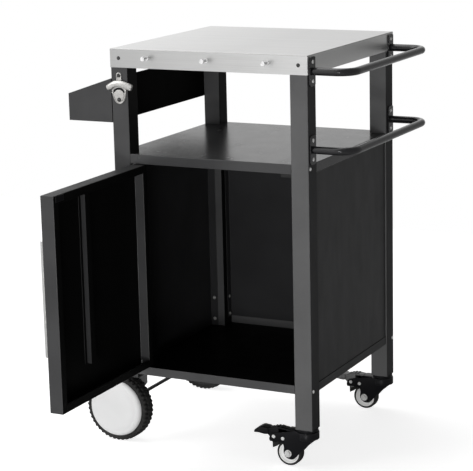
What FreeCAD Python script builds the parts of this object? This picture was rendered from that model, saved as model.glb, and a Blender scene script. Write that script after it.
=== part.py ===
import FreeCAD, Part
import math
import os

os.makedirs("parts", exist_ok=True)

# Grill cart with storage. All sizes are millimetres.
# Working frame: X to the right from the worktop's left edge, Y back from the worktop's
# front face, Z up from the floor. The door stands open at a right angle.

# Overall sizes
CART_WIDTH = 459.7
CART_DEPTH = 462.3
CART_HEIGHT = 878.8

# Clearances
RUNNING_GAP = 0.05
SEAT_GAP = 0.05
FACE_GAP = 0.4
SWEEP_GAP = 0.3

# Worktop
LID_SHEET = 1.0
LID_FLANGE = 40.0
LID_BEND = 1.5

# Legs
LEG_SIDE = 40.0
LEG_WALL = 1.5
LEG_CORNER = 2.0
RIGHT_LEG_BOTTOM = 86.5
LEFT_LEG_BOTTOM = 158.0
END_CAP_LIP = 2.5
END_CAP_DEPTH = 8.0
END_CAP_WALL = 2.0

# Shelves
SHELF_SHEET = 1.2
SHELF_BEND = 1.2
MID_SHELF_BELOW_TOP = 224.4
MID_FLANGE = 20.3
FLOOR_TOP = 165.5
FLOOR_LIP_TOP = 183.0
SIDE_RECESS = 2.5

# Cabinet panels
PANEL_SHEET = 1.0
PANEL_RETURN = 18.0
PANEL_LIP_GAP = 0.8
PANEL_SCREW_LOW = 16.0
BACK_SCREW_RISE = 6.5
PANEL_SCREW_NEXT = 67.5
PANEL_SCREW_DROP = 53.2

# Door, given in its closed place
DOOR_SHEET = 1.2
DOOR_THICK = 31.0
DOOR_LIP = 17.0
DOOR_GAP_TOP = 2.1
DOOR_GAP_BOTTOM = 2.0
DOOR_GAP_HINGE = 2.9
DOOR_GAP_FREE = 4.0
DOOR_BEND = 1.5
PIN_FROM_EDGE = 5.0
PIN_FROM_FACE = 5.5
RIB_FROM_HINGE_EDGE = 216.0
RIB_WIDTH = 18.0
RIB_FOOT = 8.0
RIB_DEPTH = 11.5
RIB_ABOVE_DOOR_FOOT = 65.0
RIB_BELOW_DOOR_TOP = 14.0

# Hinge
PIN_RADIUS = 2.5
PIN_REACH = 12.0
PIN_COLLAR_RADIUS = 4.0
PIN_HEAD = 2.0
BRACKET_SHEET = 3.0
BRACKET_LONG = 17.0
BRACKET_BACK = 22.0
BUSH_WALL = 1.1
BUSH_FLANGE = 1.5
BUSH_FLANGE_THICK = 1.0
BUSH_TAIL = 5.0

# Catch
CATCH_FROM_DOOR_EDGE = 34.7
CATCH_WIDE = 26.0
CATCH_DEEP = 16.0
CATCH_TALL = 33.2
STRIKE_THICK = 1.0
STRIKE_WIDE = 30.0
STRIKE_TALL = 12.0

# Door pull
PULL_FROM_EDGE = 24.0
PULL_ABOVE_DOOR_FOOT = 109.0
PULL_BELOW_DOOR_TOP = 97.0
PULL_RADIUS = 4.5
PULL_STAND = 15.0
PULL_POST_RADIUS = 3.5
PULL_POST_INSET = 30.0

# Tool hooks
HOOK_BELOW_TOP = 17.8
HOOK_PITCH = 139.5
HOOK_RADIUS = 2.9
HOOK_REACH = 21.0
HOOK_HEAD_RADIUS = 5.0
HOOK_HEAD_THICK = 4.0
HOOK_HEAD_EDGE = 1.2
HOOK_ROSE_RADIUS = 4.6
HOOK_ROSE_THICK = 1.2

# Towel bars
BAR_RADIUS = 8.0
BAR_WALL = 1.2
BAR_REACH = 86.0
BAR_BEND = 35.0
BAR_END_INSET = 19.0
UPPER_BAR_BELOW_TOP = 33.8
LOWER_BAR_ABOVE_SHELF = 29.8
BAR_PLATE_WIDE = 26.0
BAR_PLATE_TALL = 60.0
BAR_PLATE_THICK = 3.0
BAR_PLATE_CORNER = 5.0
BAR_SCREW_OFFSET = 19.6

# Side tray
TRAY_SHEET = 1.0
TRAY_REACH = 106.5
TRAY_BELOW_LID = 24.1
TRAY_DEEP = 94.2
TRAY_OUTER_DROP = 36.0
TRAY_SCREW_DROP = 19.7
TRAY_SCREW_RISE = 19.5

# Bottle opener
OPENER_SHEET = 2.5
OPENER_HOOD_REACH = 10.0
OPENER_BELOW_TOP = 83.8
OPENER_TOP_SCREW = 27.0
OPENER_LOW_SCREW = -24.7
OPENER_CENTRE_X = 20.5

# Screws
SCREW_HEAD_RADIUS = 4.2
SCREW_HEAD_HEIGHT = 2.2
SCREW_SHANK_RADIUS = 2.0
SCREW_SHANK = 8.0
SCREW_SLOT = 0.8
SCREW_SLOT_DEEP = 1.0

# Large wheels
WHEEL_RADIUS = 76.2
WHEEL_WIDE = 36.0
WHEEL_FACE_Y = 9.5
WHEEL_AXIS_X = -23.0
TYRE_INNER_RADIUS = 64.2
TYRE_SHOULDER = 4.0
LUG_COUNT = 44
LUG_GROOVE_WIDE = 3.6
LUG_GROOVE_DEEP = 1.8
LUG_GROOVE_LONG = 13.0
HUB_CAP_STAND = 8.0
HUB_CAP_SHELL = 1.8
RIM_RING = 4.0
RIM_WEB = 4.0
RIM_BOSS_RADIUS = 15.0
RIM_RIB_THICK = 3.0
RIM_RIB_COUNT = 6

# Axle
AXLE_RADIUS = 4.0
AXLE_WASHER_RADIUS = 9.0
AXLE_WASHER_THICK = 1.0
RETAINER_RADIUS = 8.0
RETAINER_THICK = 2.8
AXLE_BRACKET_SHEET = 3.0
AXLE_BRACKET_Y = 48.0
AXLE_BRACKET_RIGHT = 35.0
AXLE_BRACKET_LEFT = 5.0
AXLE_BRACKET_KNEE_Z = 130.0
AXLE_BRACKET_FOOT_RADIUS = 12.0
AXLE_BRACKET_FLANGE = 22.0

# Casters, X measured from the swivel axis and Y from the wheel's middle
SWIVEL_INSET = 20.0
CASTER_TRAIL = 40.2
CASTER_RADIUS = 28.2
CASTER_TYRE_WALL = 5.0
CASTER_HALF_WIDE = 11.0
CASTER_TYRE_HALF = 10.0
CASTER_DISH = 2.5
FORK_INNER_HALF = 12.0
FORK_SHEET = 2.0
FORK_TOP_Z = 80.5
FORK_TOP_SHEET = 2.5
FORK_CROWN_RADIUS = 25.0
FORK_SKIRT_BOTTOM = 64.5
FORK_RACE_RADIUS = 20.0
FORK_RACE_TALL = 1.6
TOP_RACE_RADIUS = 23.0
TOP_RACE_TALL = 4.0
STEM_RADIUS = 5.0
STEM_LENGTH = 34.0
STEM_FOOT_RADIUS = 9.0
STEM_FOOT_TALL = 3.2
SOCKET_TALL = 30.0
BOLT_RADIUS = 4.0
BOLT_HEAD_RADIUS = 6.6
BOLT_HEAD_TALL = 4.5
RIVET_RADIUS = 2.5
RIVET_HEAD_RADIUS = 4.0
RIVET_HEAD_TALL = 1.5
BRAKE_PIVOT = (-73.7, 62.0)
STOP_RIVET = (-52.2, 60.0)
BRAKE_TRAVEL = 6.0
PEDAL_SHEET = 3.0
PEDAL_PAD_HALF = 14.0
PEDAL_NECK_HALF = 10.5
PEDAL_EAR_SHEET = 2.0
PEDAL_NECK_X = -87.5
PEDAL_TRIM_REACH = 40.0

# Outlines in X and Z
FORK_CHEEK_OUTLINE = [
    (21.0, 78.2), (21.0, 64.5), (14.0, 58.0), (-2.7, 44.0), (-26.7, 17.0), (-33.7, 15.0),
    (-43.0, 17.0), (-49.5, 23.0), (-51.5, 31.0), (-49.7, 42.0), (-52.7, 50.0), (-68.0, 52.0),
    (-83.7, 50.0), (-85.0, 58.0), (-80.7, 67.0), (-66.0, 71.5), (-44.0, 75.0), (-25.0, 78.2),
]
PEDAL_TOP_LINE = [
    (-122.0, 68.5), (-114.0, 75.5), (-105.7, 79.5), (-95.0, 78.5), (-84.0, 77.5),
    (-70.0, 82.0), (-56.0, 82.2), (-44.7, 80.5),
]
PAD_WEB_OUTLINE = [
    (-121.5, 66.5), (-114.0, 73.5), (-105.7, 77.5), (-95.0, 76.5), (-87.5, 75.8),
    (-87.5, 65.5), (-93.0, 64.5), (-101.0, 65.0), (-109.0, 66.5), (-117.0, 66.0),
]
PEDAL_EAR_OUTLINE = [
    (-83.0, 76.5), (-83.0, 60.0), (-79.0, 48.0), (-69.0, 48.0), (-64.0, 58.0), (-64.0, 80.0),
    (-70.0, 80.0),
]
SHOE_OUTLINE = [(-79.5, 56.0), (-79.0, 46.0), (-78.7, 35.0), (-60.0, 44.0), (-63.0, 56.0)]
OPENER_PLATE_OUTLINE = [
    (-6.3, 28.0), (-5.0, 32.0), (0.0, 33.5), (5.0, 32.0), (6.3, 28.0), (6.3, 13.0),
    (16.5, 4.0), (17.2, -7.0), (14.6, -21.0), (9.2, -31.0), (0.0, -34.5),
    (-9.2, -31.0), (-15.0, -20.0), (-18.3, -6.0), (-17.5, 4.0), (-6.3, 13.0),
]
OPENER_HOOD_OUTLINE = [
    (-31.0, 4.0), (-20.0, 10.5), (-8.0, 15.0), (8.0, 15.5), (21.0, 12.0), (33.0, 5.5),
    (28.5, -5.0), (17.5, -2.0), (11.0, 2.0), (0.0, 3.5), (-10.0, 2.0), (-17.0, -2.5),
    (-26.0, -3.5),
]

# Places worked out from the sizes above
LEG_LEFT_X = LID_SHEET
LEG_RIGHT_X = CART_WIDTH - LID_SHEET - LEG_SIDE
LEG_FRONT_Y = LID_SHEET
LEG_REAR_Y = CART_DEPTH - LID_SHEET - LEG_SIDE
LEG_TOP = CART_HEIGHT - LID_SHEET
BAY_LEFT = LEG_LEFT_X + LEG_SIDE
BAY_RIGHT = LEG_RIGHT_X
BAY_FRONT = LEG_FRONT_Y + LEG_SIDE
BAY_REAR = LEG_REAR_Y
SHELF_LEFT = LID_SHEET + SIDE_RECESS
SHELF_RIGHT = CART_WIDTH - LID_SHEET - SIDE_RECESS
SHELF_FRONT = LID_SHEET
SHELF_REAR = CART_DEPTH - LID_SHEET - SIDE_RECESS
MID_SHELF_TOP = CART_HEIGHT - MID_SHELF_BELOW_TOP
MID_SHELF_UNDER = MID_SHELF_TOP - SHELF_SHEET
MID_FLANGE_BOTTOM = MID_SHELF_TOP - MID_FLANGE
FLOOR_UNDER = FLOOR_TOP - SHELF_SHEET
DOOR_BOTTOM = FLOOR_LIP_TOP + DOOR_GAP_BOTTOM
DOOR_TOP = MID_FLANGE_BOTTOM - DOOR_GAP_TOP
DOOR_LEFT = BAY_LEFT + DOOR_GAP_HINGE
DOOR_RIGHT = BAY_RIGHT - DOOR_GAP_FREE
DOOR_FRONT = LID_SHEET
DOOR_BACK = DOOR_FRONT + DOOR_THICK
PIN_X = DOOR_LEFT + PIN_FROM_EDGE
PIN_Y = DOOR_FRONT + PIN_FROM_FACE
PULL_X = DOOR_RIGHT - PULL_FROM_EDGE
PULL_BOTTOM = DOOR_BOTTOM + PULL_ABOVE_DOOR_FOOT
PULL_TOP = DOOR_TOP - PULL_BELOW_DOOR_TOP
RIB_CENTRE_X = DOOR_LEFT + RIB_FROM_HINGE_EDGE
RIB_BOTTOM = DOOR_BOTTOM + RIB_ABOVE_DOOR_FOOT
RIB_TOP = DOOR_TOP - RIB_BELOW_DOOR_TOP
CATCH_LEFT = DOOR_RIGHT - CATCH_FROM_DOOR_EDGE
CATCH_BOTTOM = MID_SHELF_UNDER - CATCH_TALL
BACK_PANEL_LOW = FLOOR_LIP_TOP + PANEL_LIP_GAP
PANEL_SCREW_UPPER = (FLOOR_TOP + PANEL_SCREW_NEXT, MID_SHELF_UNDER - PANEL_SCREW_DROP)
HOOK_Z = CART_HEIGHT - HOOK_BELOW_TOP
UPPER_BAR_Z = CART_HEIGHT - UPPER_BAR_BELOW_TOP
LOWER_BAR_Z = MID_SHELF_TOP + LOWER_BAR_ABOVE_SHELF
TRAY_INNER_TOP = CART_HEIGHT - LID_FLANGE - TRAY_BELOW_LID
TRAY_OUTER_TOP = TRAY_INNER_TOP - TRAY_OUTER_DROP
TRAY_BOTTOM = TRAY_INNER_TOP - TRAY_DEEP
TRAY_SCREW_Z = TRAY_INNER_TOP - TRAY_SCREW_DROP
TRAY_SCREW_LOW_Z = TRAY_BOTTOM + TRAY_SCREW_RISE
OPENER_CENTRE_Z = CART_HEIGHT - OPENER_BELOW_TOP
BUSH_RADIUS = PIN_RADIUS + RUNNING_GAP + BUSH_WALL
BAR_AXIS_X = CART_WIDTH + BAR_REACH
AXLE_Z = WHEEL_RADIUS
SWIVEL_X = CART_WIDTH - LID_SHEET - SWIVEL_INSET
SWIVEL_FRONT_Y = LID_SHEET + SWIVEL_INSET
SWIVEL_REAR_Y = CART_DEPTH - LID_SHEET - SWIVEL_INSET
HUB_FACE_Y = WHEEL_FACE_Y - HUB_CAP_STAND

# The bounding box's middle in X and Y moves to the origin
BOX_LEFT = -TRAY_REACH
BOX_RIGHT = BAR_AXIS_X + BAR_RADIUS
BOX_FRONT = PIN_Y - (DOOR_RIGHT - PIN_X)
BOX_REAR = SWIVEL_REAR_Y + FORK_CROWN_RADIUS
FRAME_SHIFT = FreeCAD.Vector(-(BOX_LEFT + BOX_RIGHT) / 2, -(BOX_FRONT + BOX_REAR) / 2, 0)

RIGHTWARD = FreeCAD.Vector(1, 0, 0)
LEFTWARD = FreeCAD.Vector(-1, 0, 0)
FORWARD = FreeCAD.Vector(0, -1, 0)
BACKWARD = FreeCAD.Vector(0, 1, 0)
UPWARD = FreeCAD.Vector(0, 0, 1)
DOWNWARD = FreeCAD.Vector(0, 0, -1)


def point(x, y, z):
    return FreeCAD.Vector(x, y, z)


def block(x0, x1, y0, y1, z0, z1):
    return Part.makeBox(x1 - x0, y1 - y0, z1 - z0, point(x0, y0, z0))


def rod(start, direction, radius, length):
    return Part.makeCylinder(radius, length, start, direction)


def ring(start, direction, outer, inner, length):
    return rod(start, direction, outer, length).cut(rod(start, direction, inner, length))


def along(edge, axis):
    ends = [vertex.Point for vertex in edge.Vertexes]
    if len(ends) < 2:
        return False
    return abs((ends[1] - ends[0]).normalize().dot(axis)) > 0.999


def rounded(shape, radius, wanted):
    return shape.makeFillet(radius, [edge for edge in shape.Edges if wanted(edge)])


def upright(edge):
    return along(edge, UPWARD)


def at_height(edge, z):
    return all(abs(vertex.Z - z) < 0.001 for vertex in edge.Vertexes)


def cut_all(shape, cutters):
    return shape.cut(Part.makeCompound(cutters))


def fuse_all(shapes):
    joined = shapes[0].multiFuse(shapes[1:])
    return joined.removeSplitter()


def side_profile(outline, y0, y1):
    corners = [point(x, y0, z) for x, z in outline]
    face = Part.Face(Part.makePolygon(corners + [corners[0]]))
    return face.extrude(point(0, y1 - y0, 0))


def turned(outline, centre, direction):
    corners = [point(radius, 0, height) for radius, height in outline]
    face = Part.Face(Part.makePolygon(corners + [corners[0]]))
    solid = face.revolve(point(0, 0, 0), UPWARD, 360)
    solid.Placement = FreeCAD.Placement(centre, FreeCAD.Rotation(UPWARD, direction))
    return solid


def bent_path(corners, bend):
    edges = []
    start = corners[0]
    for index in range(1, len(corners) - 1):
        corner = corners[index]
        back = (corners[index - 1] - corner).normalize()
        ahead = (corners[index + 1] - corner).normalize()
        half_angle = back.getAngle(ahead) / 2
        inward = (back + ahead).normalize()
        enter = corner + back * (bend / math.tan(half_angle))
        leave = corner + ahead * (bend / math.tan(half_angle))
        middle = corner + inward * (bend / math.sin(half_angle) - bend)
        edges.append(Part.LineSegment(start, enter).toShape())
        edges.append(Part.Arc(enter, middle, leave).toShape())
        start = leave
    edges.append(Part.LineSegment(start, corners[-1]).toShape())
    return Part.Wire(edges)


def bent_rod(corners, bend, radius):
    first = corners[1] - corners[0]
    circle = Part.Wire(Part.Circle(corners[0], first, radius).toShape())
    return bent_path(corners, bend).makePipeShell([circle], True, False)


def screw_hole(seat, outward):
    start = seat + outward * SCREW_SHANK_RADIUS
    length = SCREW_SHANK + SCREW_SHANK_RADIUS
    return rod(start, outward * -1, SCREW_SHANK_RADIUS + SEAT_GAP, length)


def dome_screw(seat, outward):
    ball = (SCREW_HEAD_RADIUS ** 2 + SCREW_HEAD_HEIGHT ** 2) / (2 * SCREW_HEAD_HEIGHT)
    sphere = Part.makeSphere(ball, point(0, 0, SCREW_HEAD_HEIGHT - ball))
    head = sphere.common(rod(point(0, 0, 0), UPWARD, SCREW_HEAD_RADIUS, SCREW_HEAD_HEIGHT))
    shank = rod(point(0, 0, -SCREW_SHANK), UPWARD, SCREW_SHANK_RADIUS, SCREW_SHANK)
    slot_long = SCREW_HEAD_RADIUS / 2
    slot_low = SCREW_HEAD_HEIGHT - SCREW_SLOT_DEEP
    wide = block(-slot_long, slot_long, -SCREW_SLOT / 2, SCREW_SLOT / 2, slot_low, SCREW_HEAD_HEIGHT)
    tall = block(-SCREW_SLOT / 2, SCREW_SLOT / 2, -slot_long, slot_long, slot_low, SCREW_HEAD_HEIGHT)
    screw = fuse_all([head, shank]).cut(wide.fuse(tall))
    screw.Placement = FreeCAD.Placement(seat, FreeCAD.Rotation(UPWARD, outward))
    return screw


def leg_centres():
    left = LEG_LEFT_X + LEG_SIDE / 2
    right = LEG_RIGHT_X + LEG_SIDE / 2
    front = LEG_FRONT_Y + LEG_SIDE / 2
    rear = LEG_REAR_Y + LEG_SIDE / 2
    return left, right, front, rear


# Seats of the screws: where the head rests, and the way it faces
def apron_screw_seats():
    left, right, front, rear = leg_centres()
    height = CART_HEIGHT - LID_FLANGE / 2
    seats = [(point(x, 0, height), FORWARD) for x in (left, right)]
    seats += [(point(x, CART_DEPTH, height), BACKWARD) for x in (left, right)]
    return seats


def shelf_screw_seats():
    edge = 8.0
    upper_z = MID_FLANGE_BOTTOM + 12.0
    lower_z = FLOOR_UNDER + 8.0
    seats = []
    for height in (upper_z, lower_z):
        for y in (LEG_FRONT_Y + edge, LEG_REAR_Y + LEG_SIDE - edge):
            seats.append((point(LEG_LEFT_X, y, height), LEFTWARD))
            seats.append((point(LEG_RIGHT_X + LEG_SIDE, y, height), RIGHTWARD))
    return seats


def tray_screw_seats():
    left, right, front, rear = leg_centres()
    return [(point(0, y, z), LEFTWARD) for y in (front, rear) for z in (TRAY_SCREW_Z, TRAY_SCREW_LOW_Z)]


def opener_screw_seats():
    face = LEG_FRONT_Y - OPENER_SHEET
    heights = (OPENER_CENTRE_Z + OPENER_TOP_SCREW, OPENER_CENTRE_Z + OPENER_LOW_SCREW)
    return [(point(OPENER_CENTRE_X, face, z), FORWARD) for z in heights]


def bar_plate_face(z):
    side = CART_WIDTH if z > CART_HEIGHT - LID_FLANGE else CART_WIDTH - LID_SHEET
    return side + BAR_PLATE_THICK


def bar_screw_seats():
    seats = []
    for z in (UPPER_BAR_Z, LOWER_BAR_Z):
        for y in (BAR_END_INSET, CART_DEPTH - BAR_END_INSET):
            for offset in (-BAR_SCREW_OFFSET, BAR_SCREW_OFFSET):
                seats.append((point(bar_plate_face(z), y, z + offset), RIGHTWARD))
    return seats


def panel_screw_seats():
    inset = SHELF_SHEET + PANEL_SHEET
    return_middle = inset + PANEL_RETURN / 2
    seats = []
    for z in (FLOOR_TOP + PANEL_SCREW_LOW,) + PANEL_SCREW_UPPER:
        for x in (SHELF_LEFT + return_middle, SHELF_RIGHT - return_middle):
            seats.append((point(x, BAY_FRONT + PANEL_SHEET, z), BACKWARD))
            seats.append((point(x, BAY_REAR - PANEL_SHEET, z), FORWARD))
    for z in (BACK_PANEL_LOW + BACK_SCREW_RISE,) + PANEL_SCREW_UPPER:
        for x in (BAY_LEFT + PANEL_SHEET, BAY_RIGHT - PANEL_SHEET):
            outward = RIGHTWARD if x < CART_WIDTH / 2 else LEFTWARD
            seats.append((point(x, SHELF_REAR - return_middle, z), outward))
    return seats


def drilled(shape, seats):
    return cut_all(shape, [screw_hole(seat, outward) for seat, outward in seats])


def screws(seats):
    return [dome_screw(seat, outward) for seat, outward in seats]


def worktop():
    lid = block(0, CART_WIDTH, 0, CART_DEPTH, CART_HEIGHT - LID_FLANGE, CART_HEIGHT)
    lid = rounded(lid, LID_BEND, lambda edge: upright(edge) or at_height(edge, CART_HEIGHT))
    hollow = block(
        LID_SHEET, CART_WIDTH - LID_SHEET, LID_SHEET, CART_DEPTH - LID_SHEET,
        CART_HEIGHT - LID_FLANGE, CART_HEIGHT - LID_SHEET,
    )
    lid = drilled(lid.cut(hollow), apron_screw_seats())
    upper = [seat for seat in bar_screw_seats() if seat[0].z > CART_HEIGHT - LID_FLANGE]
    return drilled(lid, upper)


def hook_places():
    return [CART_WIDTH / 2 + step * HOOK_PITCH for step in (-1, 0, 1)]


# A tool hook is a straight peg with a flat head, turned in one piece with its foot
def tool_hook(x):
    foot = point(x, 0, HOOK_Z)
    neck = HOOK_REACH - HOOK_HEAD_THICK
    peg = rod(foot, FORWARD, HOOK_RADIUS, HOOK_REACH)
    head = rod(point(x, -neck, HOOK_Z), FORWARD, HOOK_HEAD_RADIUS, HOOK_HEAD_THICK)
    head = rounded(head, HOOK_HEAD_EDGE, lambda edge: len(edge.Vertexes) == 1)
    rose = rod(foot, FORWARD, HOOK_ROSE_RADIUS, HOOK_ROSE_THICK)
    return fuse_all([peg, head, rose])


def tool_hooks():
    return [tool_hook(x) for x in hook_places()]


def leg(x, y, bottom):
    tube = block(x, x + LEG_SIDE, y, y + LEG_SIDE, bottom, LEG_TOP)
    tube = rounded(tube, LEG_CORNER, upright)
    hollow = block(
        x + LEG_WALL, x + LEG_SIDE - LEG_WALL, y + LEG_WALL, y + LEG_SIDE - LEG_WALL, bottom, LEG_TOP,
    )
    seats = apron_screw_seats() + shelf_screw_seats() + tray_screw_seats() + opener_screw_seats()
    seats = seats + bar_screw_seats() + panel_screw_seats()
    near = []
    for seat, outward in seats:
        inside = seat - outward * SCREW_SHANK
        if x < inside.x < x + LEG_SIDE and y < inside.y < y + LEG_SIDE:
            near.append((seat, outward))
    return drilled(tube.cut(hollow), near)


def end_cap(x, y):
    z = LEFT_LEG_BOTTOM
    lip = block(x, x + LEG_SIDE, y, y + LEG_SIDE, z - END_CAP_LIP, z)
    lip = rounded(lip, LEG_CORNER, upright)
    edge = LEG_WALL
    body = block(x + edge, x + LEG_SIDE - edge, y + edge, y + LEG_SIDE - edge, z, z + END_CAP_DEPTH)
    edge = LEG_WALL + END_CAP_WALL
    hollow = block(x + edge, x + LEG_SIDE - edge, y + edge, y + LEG_SIDE - edge, z, z + END_CAP_DEPTH)
    return fuse_all([lip, body.cut(hollow)])


def end_caps():
    return [end_cap(LEG_LEFT_X, y) for y in (LEG_FRONT_Y, LEG_REAR_Y)]


def leg_notches(z0, z1):
    notches = []
    for x in (LEG_LEFT_X, LEG_RIGHT_X):
        for y in (LEG_FRONT_Y, LEG_REAR_Y):
            notches.append(block(x, x + LEG_SIDE, y, y + LEG_SIDE, z0, z1))
    return notches


def middle_shelf():
    low = MID_FLANGE_BOTTOM
    sheet = SHELF_SHEET
    pan = block(SHELF_LEFT, SHELF_RIGHT, SHELF_FRONT, SHELF_REAR, low, MID_SHELF_TOP)
    pan = rounded(pan, SHELF_BEND, lambda edge: at_height(edge, MID_SHELF_TOP))
    hollow = block(
        SHELF_LEFT + sheet, SHELF_RIGHT - sheet, SHELF_FRONT + sheet, SHELF_REAR - sheet,
        low, MID_SHELF_UNDER,
    )
    return cut_all(pan, [hollow] + leg_notches(low, MID_SHELF_TOP))


def bottom_shelf():
    high = FLOOR_LIP_TOP
    sheet = SHELF_SHEET
    pan = block(SHELF_LEFT, SHELF_RIGHT, SHELF_FRONT, SHELF_REAR, FLOOR_UNDER, high)
    pan = rounded(pan, SHELF_BEND, lambda edge: at_height(edge, FLOOR_UNDER))
    hollow = block(
        SHELF_LEFT + sheet, SHELF_RIGHT - sheet, SHELF_FRONT + sheet, SHELF_REAR - sheet,
        FLOOR_TOP, high,
    )
    return cut_all(pan, [hollow] + leg_notches(FLOOR_UNDER, high))


def side_panel(face_x, inward):
    near = face_x + inward * SHELF_SHEET
    far = near + inward * (PANEL_SHEET + PANEL_RETURN)
    skin = near + inward * PANEL_SHEET
    low = FLOOR_TOP
    high = MID_SHELF_UNDER
    pan = block(min(near, far), max(near, far), BAY_FRONT, BAY_REAR, low, high)
    hollow = block(
        min(skin, far), max(skin, far), BAY_FRONT + PANEL_SHEET, BAY_REAR - PANEL_SHEET, low, high,
    )
    return drilled(pan.cut(hollow), panel_screw_seats())


# The back panel ends just above the rear lip of the bottom shelf, so the lip shows inside
def back_panel():
    near = SHELF_REAR - SHELF_SHEET
    skin = near - PANEL_SHEET
    far = skin - PANEL_RETURN
    low = BACK_PANEL_LOW
    high = MID_SHELF_UNDER
    pan = block(BAY_LEFT, BAY_RIGHT, far, near, low, high)
    hollow = block(BAY_LEFT + PANEL_SHEET, BAY_RIGHT - PANEL_SHEET, far, skin, low, high)
    return drilled(pan.cut(hollow), panel_screw_seats())


def hinge_bracket(low):
    plate = block(
        BAY_LEFT, BAY_LEFT + BRACKET_LONG, SHELF_FRONT + SHELF_SHEET, BRACKET_BACK,
        low, low + BRACKET_SHEET,
    )
    return plate.cut(rod(point(PIN_X, PIN_Y, low), UPWARD, PIN_RADIUS + SEAT_GAP, BRACKET_SHEET))


def hinge_brackets():
    return [hinge_bracket(MID_FLANGE_BOTTOM), hinge_bracket(FLOOR_LIP_TOP - BRACKET_SHEET)]


def upper_pin():
    top = MID_FLANGE_BOTTOM + BRACKET_SHEET
    end = DOOR_TOP - PIN_REACH
    shaft = rod(point(PIN_X, PIN_Y, end), UPWARD, PIN_RADIUS, top - end)
    head = rod(point(PIN_X, PIN_Y, top), UPWARD, PIN_COLLAR_RADIUS, PIN_HEAD)
    return fuse_all([shaft, head])


def lower_pin():
    low = FLOOR_LIP_TOP - BRACKET_SHEET
    end = DOOR_BOTTOM + PIN_REACH
    shaft = rod(point(PIN_X, PIN_Y, low), UPWARD, PIN_RADIUS, end - low)
    collar_tall = DOOR_GAP_BOTTOM - BUSH_FLANGE_THICK - SWEEP_GAP
    collar = rod(point(PIN_X, PIN_Y, FLOOR_LIP_TOP), UPWARD, PIN_COLLAR_RADIUS, collar_tall)
    return fuse_all([shaft, collar])


def magnet_catch():
    front = DOOR_BACK + STRIKE_THICK + FACE_GAP
    body = block(
        CATCH_LEFT, CATCH_LEFT + CATCH_WIDE, front, front + CATCH_DEEP, CATCH_BOTTOM, MID_SHELF_UNDER,
    )
    return rounded(body, 1.0, lambda edge: along(edge, UPWARD) or at_height(edge, CATCH_BOTTOM))


def opened(shape):
    turned_shape = shape.copy()
    turned_shape.rotate(point(PIN_X, PIN_Y, 0), UPWARD, -90)
    return turned_shape


def bush_holes():
    start = point(PIN_X, PIN_Y, DOOR_BOTTOM)
    low = rod(start, UPWARD, BUSH_RADIUS + SEAT_GAP, DOOR_SHEET)
    start = point(PIN_X, PIN_Y, DOOR_TOP - DOOR_SHEET)
    high = rod(start, UPWARD, BUSH_RADIUS + SEAT_GAP, DOOR_SHEET)
    return [low, high]


def pull_posts():
    return [PULL_BOTTOM + PULL_POST_INSET, PULL_TOP - PULL_POST_INSET]


def pull_screw_seats():
    face = DOOR_FRONT + DOOR_SHEET
    return [(point(PULL_X, face, z), BACKWARD) for z in pull_posts()]


def door_panes():
    skin_y = DOOR_FRONT + DOOR_SHEET
    lip_y = DOOR_BACK - DOOR_SHEET
    panes = [block(DOOR_LEFT, DOOR_RIGHT, DOOR_FRONT, skin_y, DOOR_BOTTOM, DOOR_TOP)]
    for near, far, rim in ((skin_y, lip_y, DOOR_SHEET), (lip_y, DOOR_BACK, DOOR_LIP)):
        left = DOOR_LEFT + rim
        right = DOOR_RIGHT - rim
        panes.append(block(DOOR_LEFT, left, near, far, DOOR_BOTTOM, DOOR_TOP))
        panes.append(block(right, DOOR_RIGHT, near, far, DOOR_BOTTOM, DOOR_TOP))
        panes.append(block(left, right, near, far, DOOR_BOTTOM, DOOR_BOTTOM + rim))
        panes.append(block(left, right, near, far, DOOR_TOP - rim, DOOR_TOP))
    return panes


# The door is one folded pan, given as flat panes that meet at its folds
def door_shell():
    pan = block(DOOR_LEFT, DOOR_RIGHT, DOOR_FRONT, DOOR_BACK, DOOR_BOTTOM, DOOR_TOP)
    pan = rounded(pan, DOOR_BEND, lambda edge: edge.Length > 0)
    sheet = DOOR_SHEET
    hollow = block(
        DOOR_LEFT + sheet, DOOR_RIGHT - sheet, DOOR_FRONT + sheet, DOOR_BACK - sheet,
        DOOR_BOTTOM + sheet, DOOR_TOP - sheet,
    )
    window = block(
        DOOR_LEFT + DOOR_LIP, DOOR_RIGHT - DOOR_LIP, DOOR_BACK - sheet, DOOR_BACK,
        DOOR_BOTTOM + DOOR_LIP, DOOR_TOP - DOOR_LIP,
    )
    pan = cut_all(pan.cut(hollow), [window] + bush_holes())
    pan = drilled(pan, pull_screw_seats())
    return [opened(pan.common(pane)) for pane in door_panes()]


def door_stiffener():
    inner = DOOR_FRONT + DOOR_SHEET
    half = RIB_WIDTH / 2
    sheet = DOOR_SHEET
    left = RIB_CENTRE_X - half
    right = RIB_CENTRE_X + half
    crown = block(left, right, inner, inner + RIB_DEPTH, RIB_BOTTOM, RIB_TOP)
    crown = rounded(crown, 1.5, lambda edge: upright(edge) and edge.Vertexes[0].Y > inner + 1)
    channel = block(left + sheet, right - sheet, inner, inner + RIB_DEPTH - sheet, RIB_BOTTOM, RIB_TOP)
    left_foot = block(left - RIB_FOOT, left + sheet, inner, inner + sheet, RIB_BOTTOM, RIB_TOP)
    right_foot = block(right - sheet, right + RIB_FOOT, inner, inner + sheet, RIB_BOTTOM, RIB_TOP)
    return opened(fuse_all([crown.cut(channel), left_foot, right_foot]))


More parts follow.
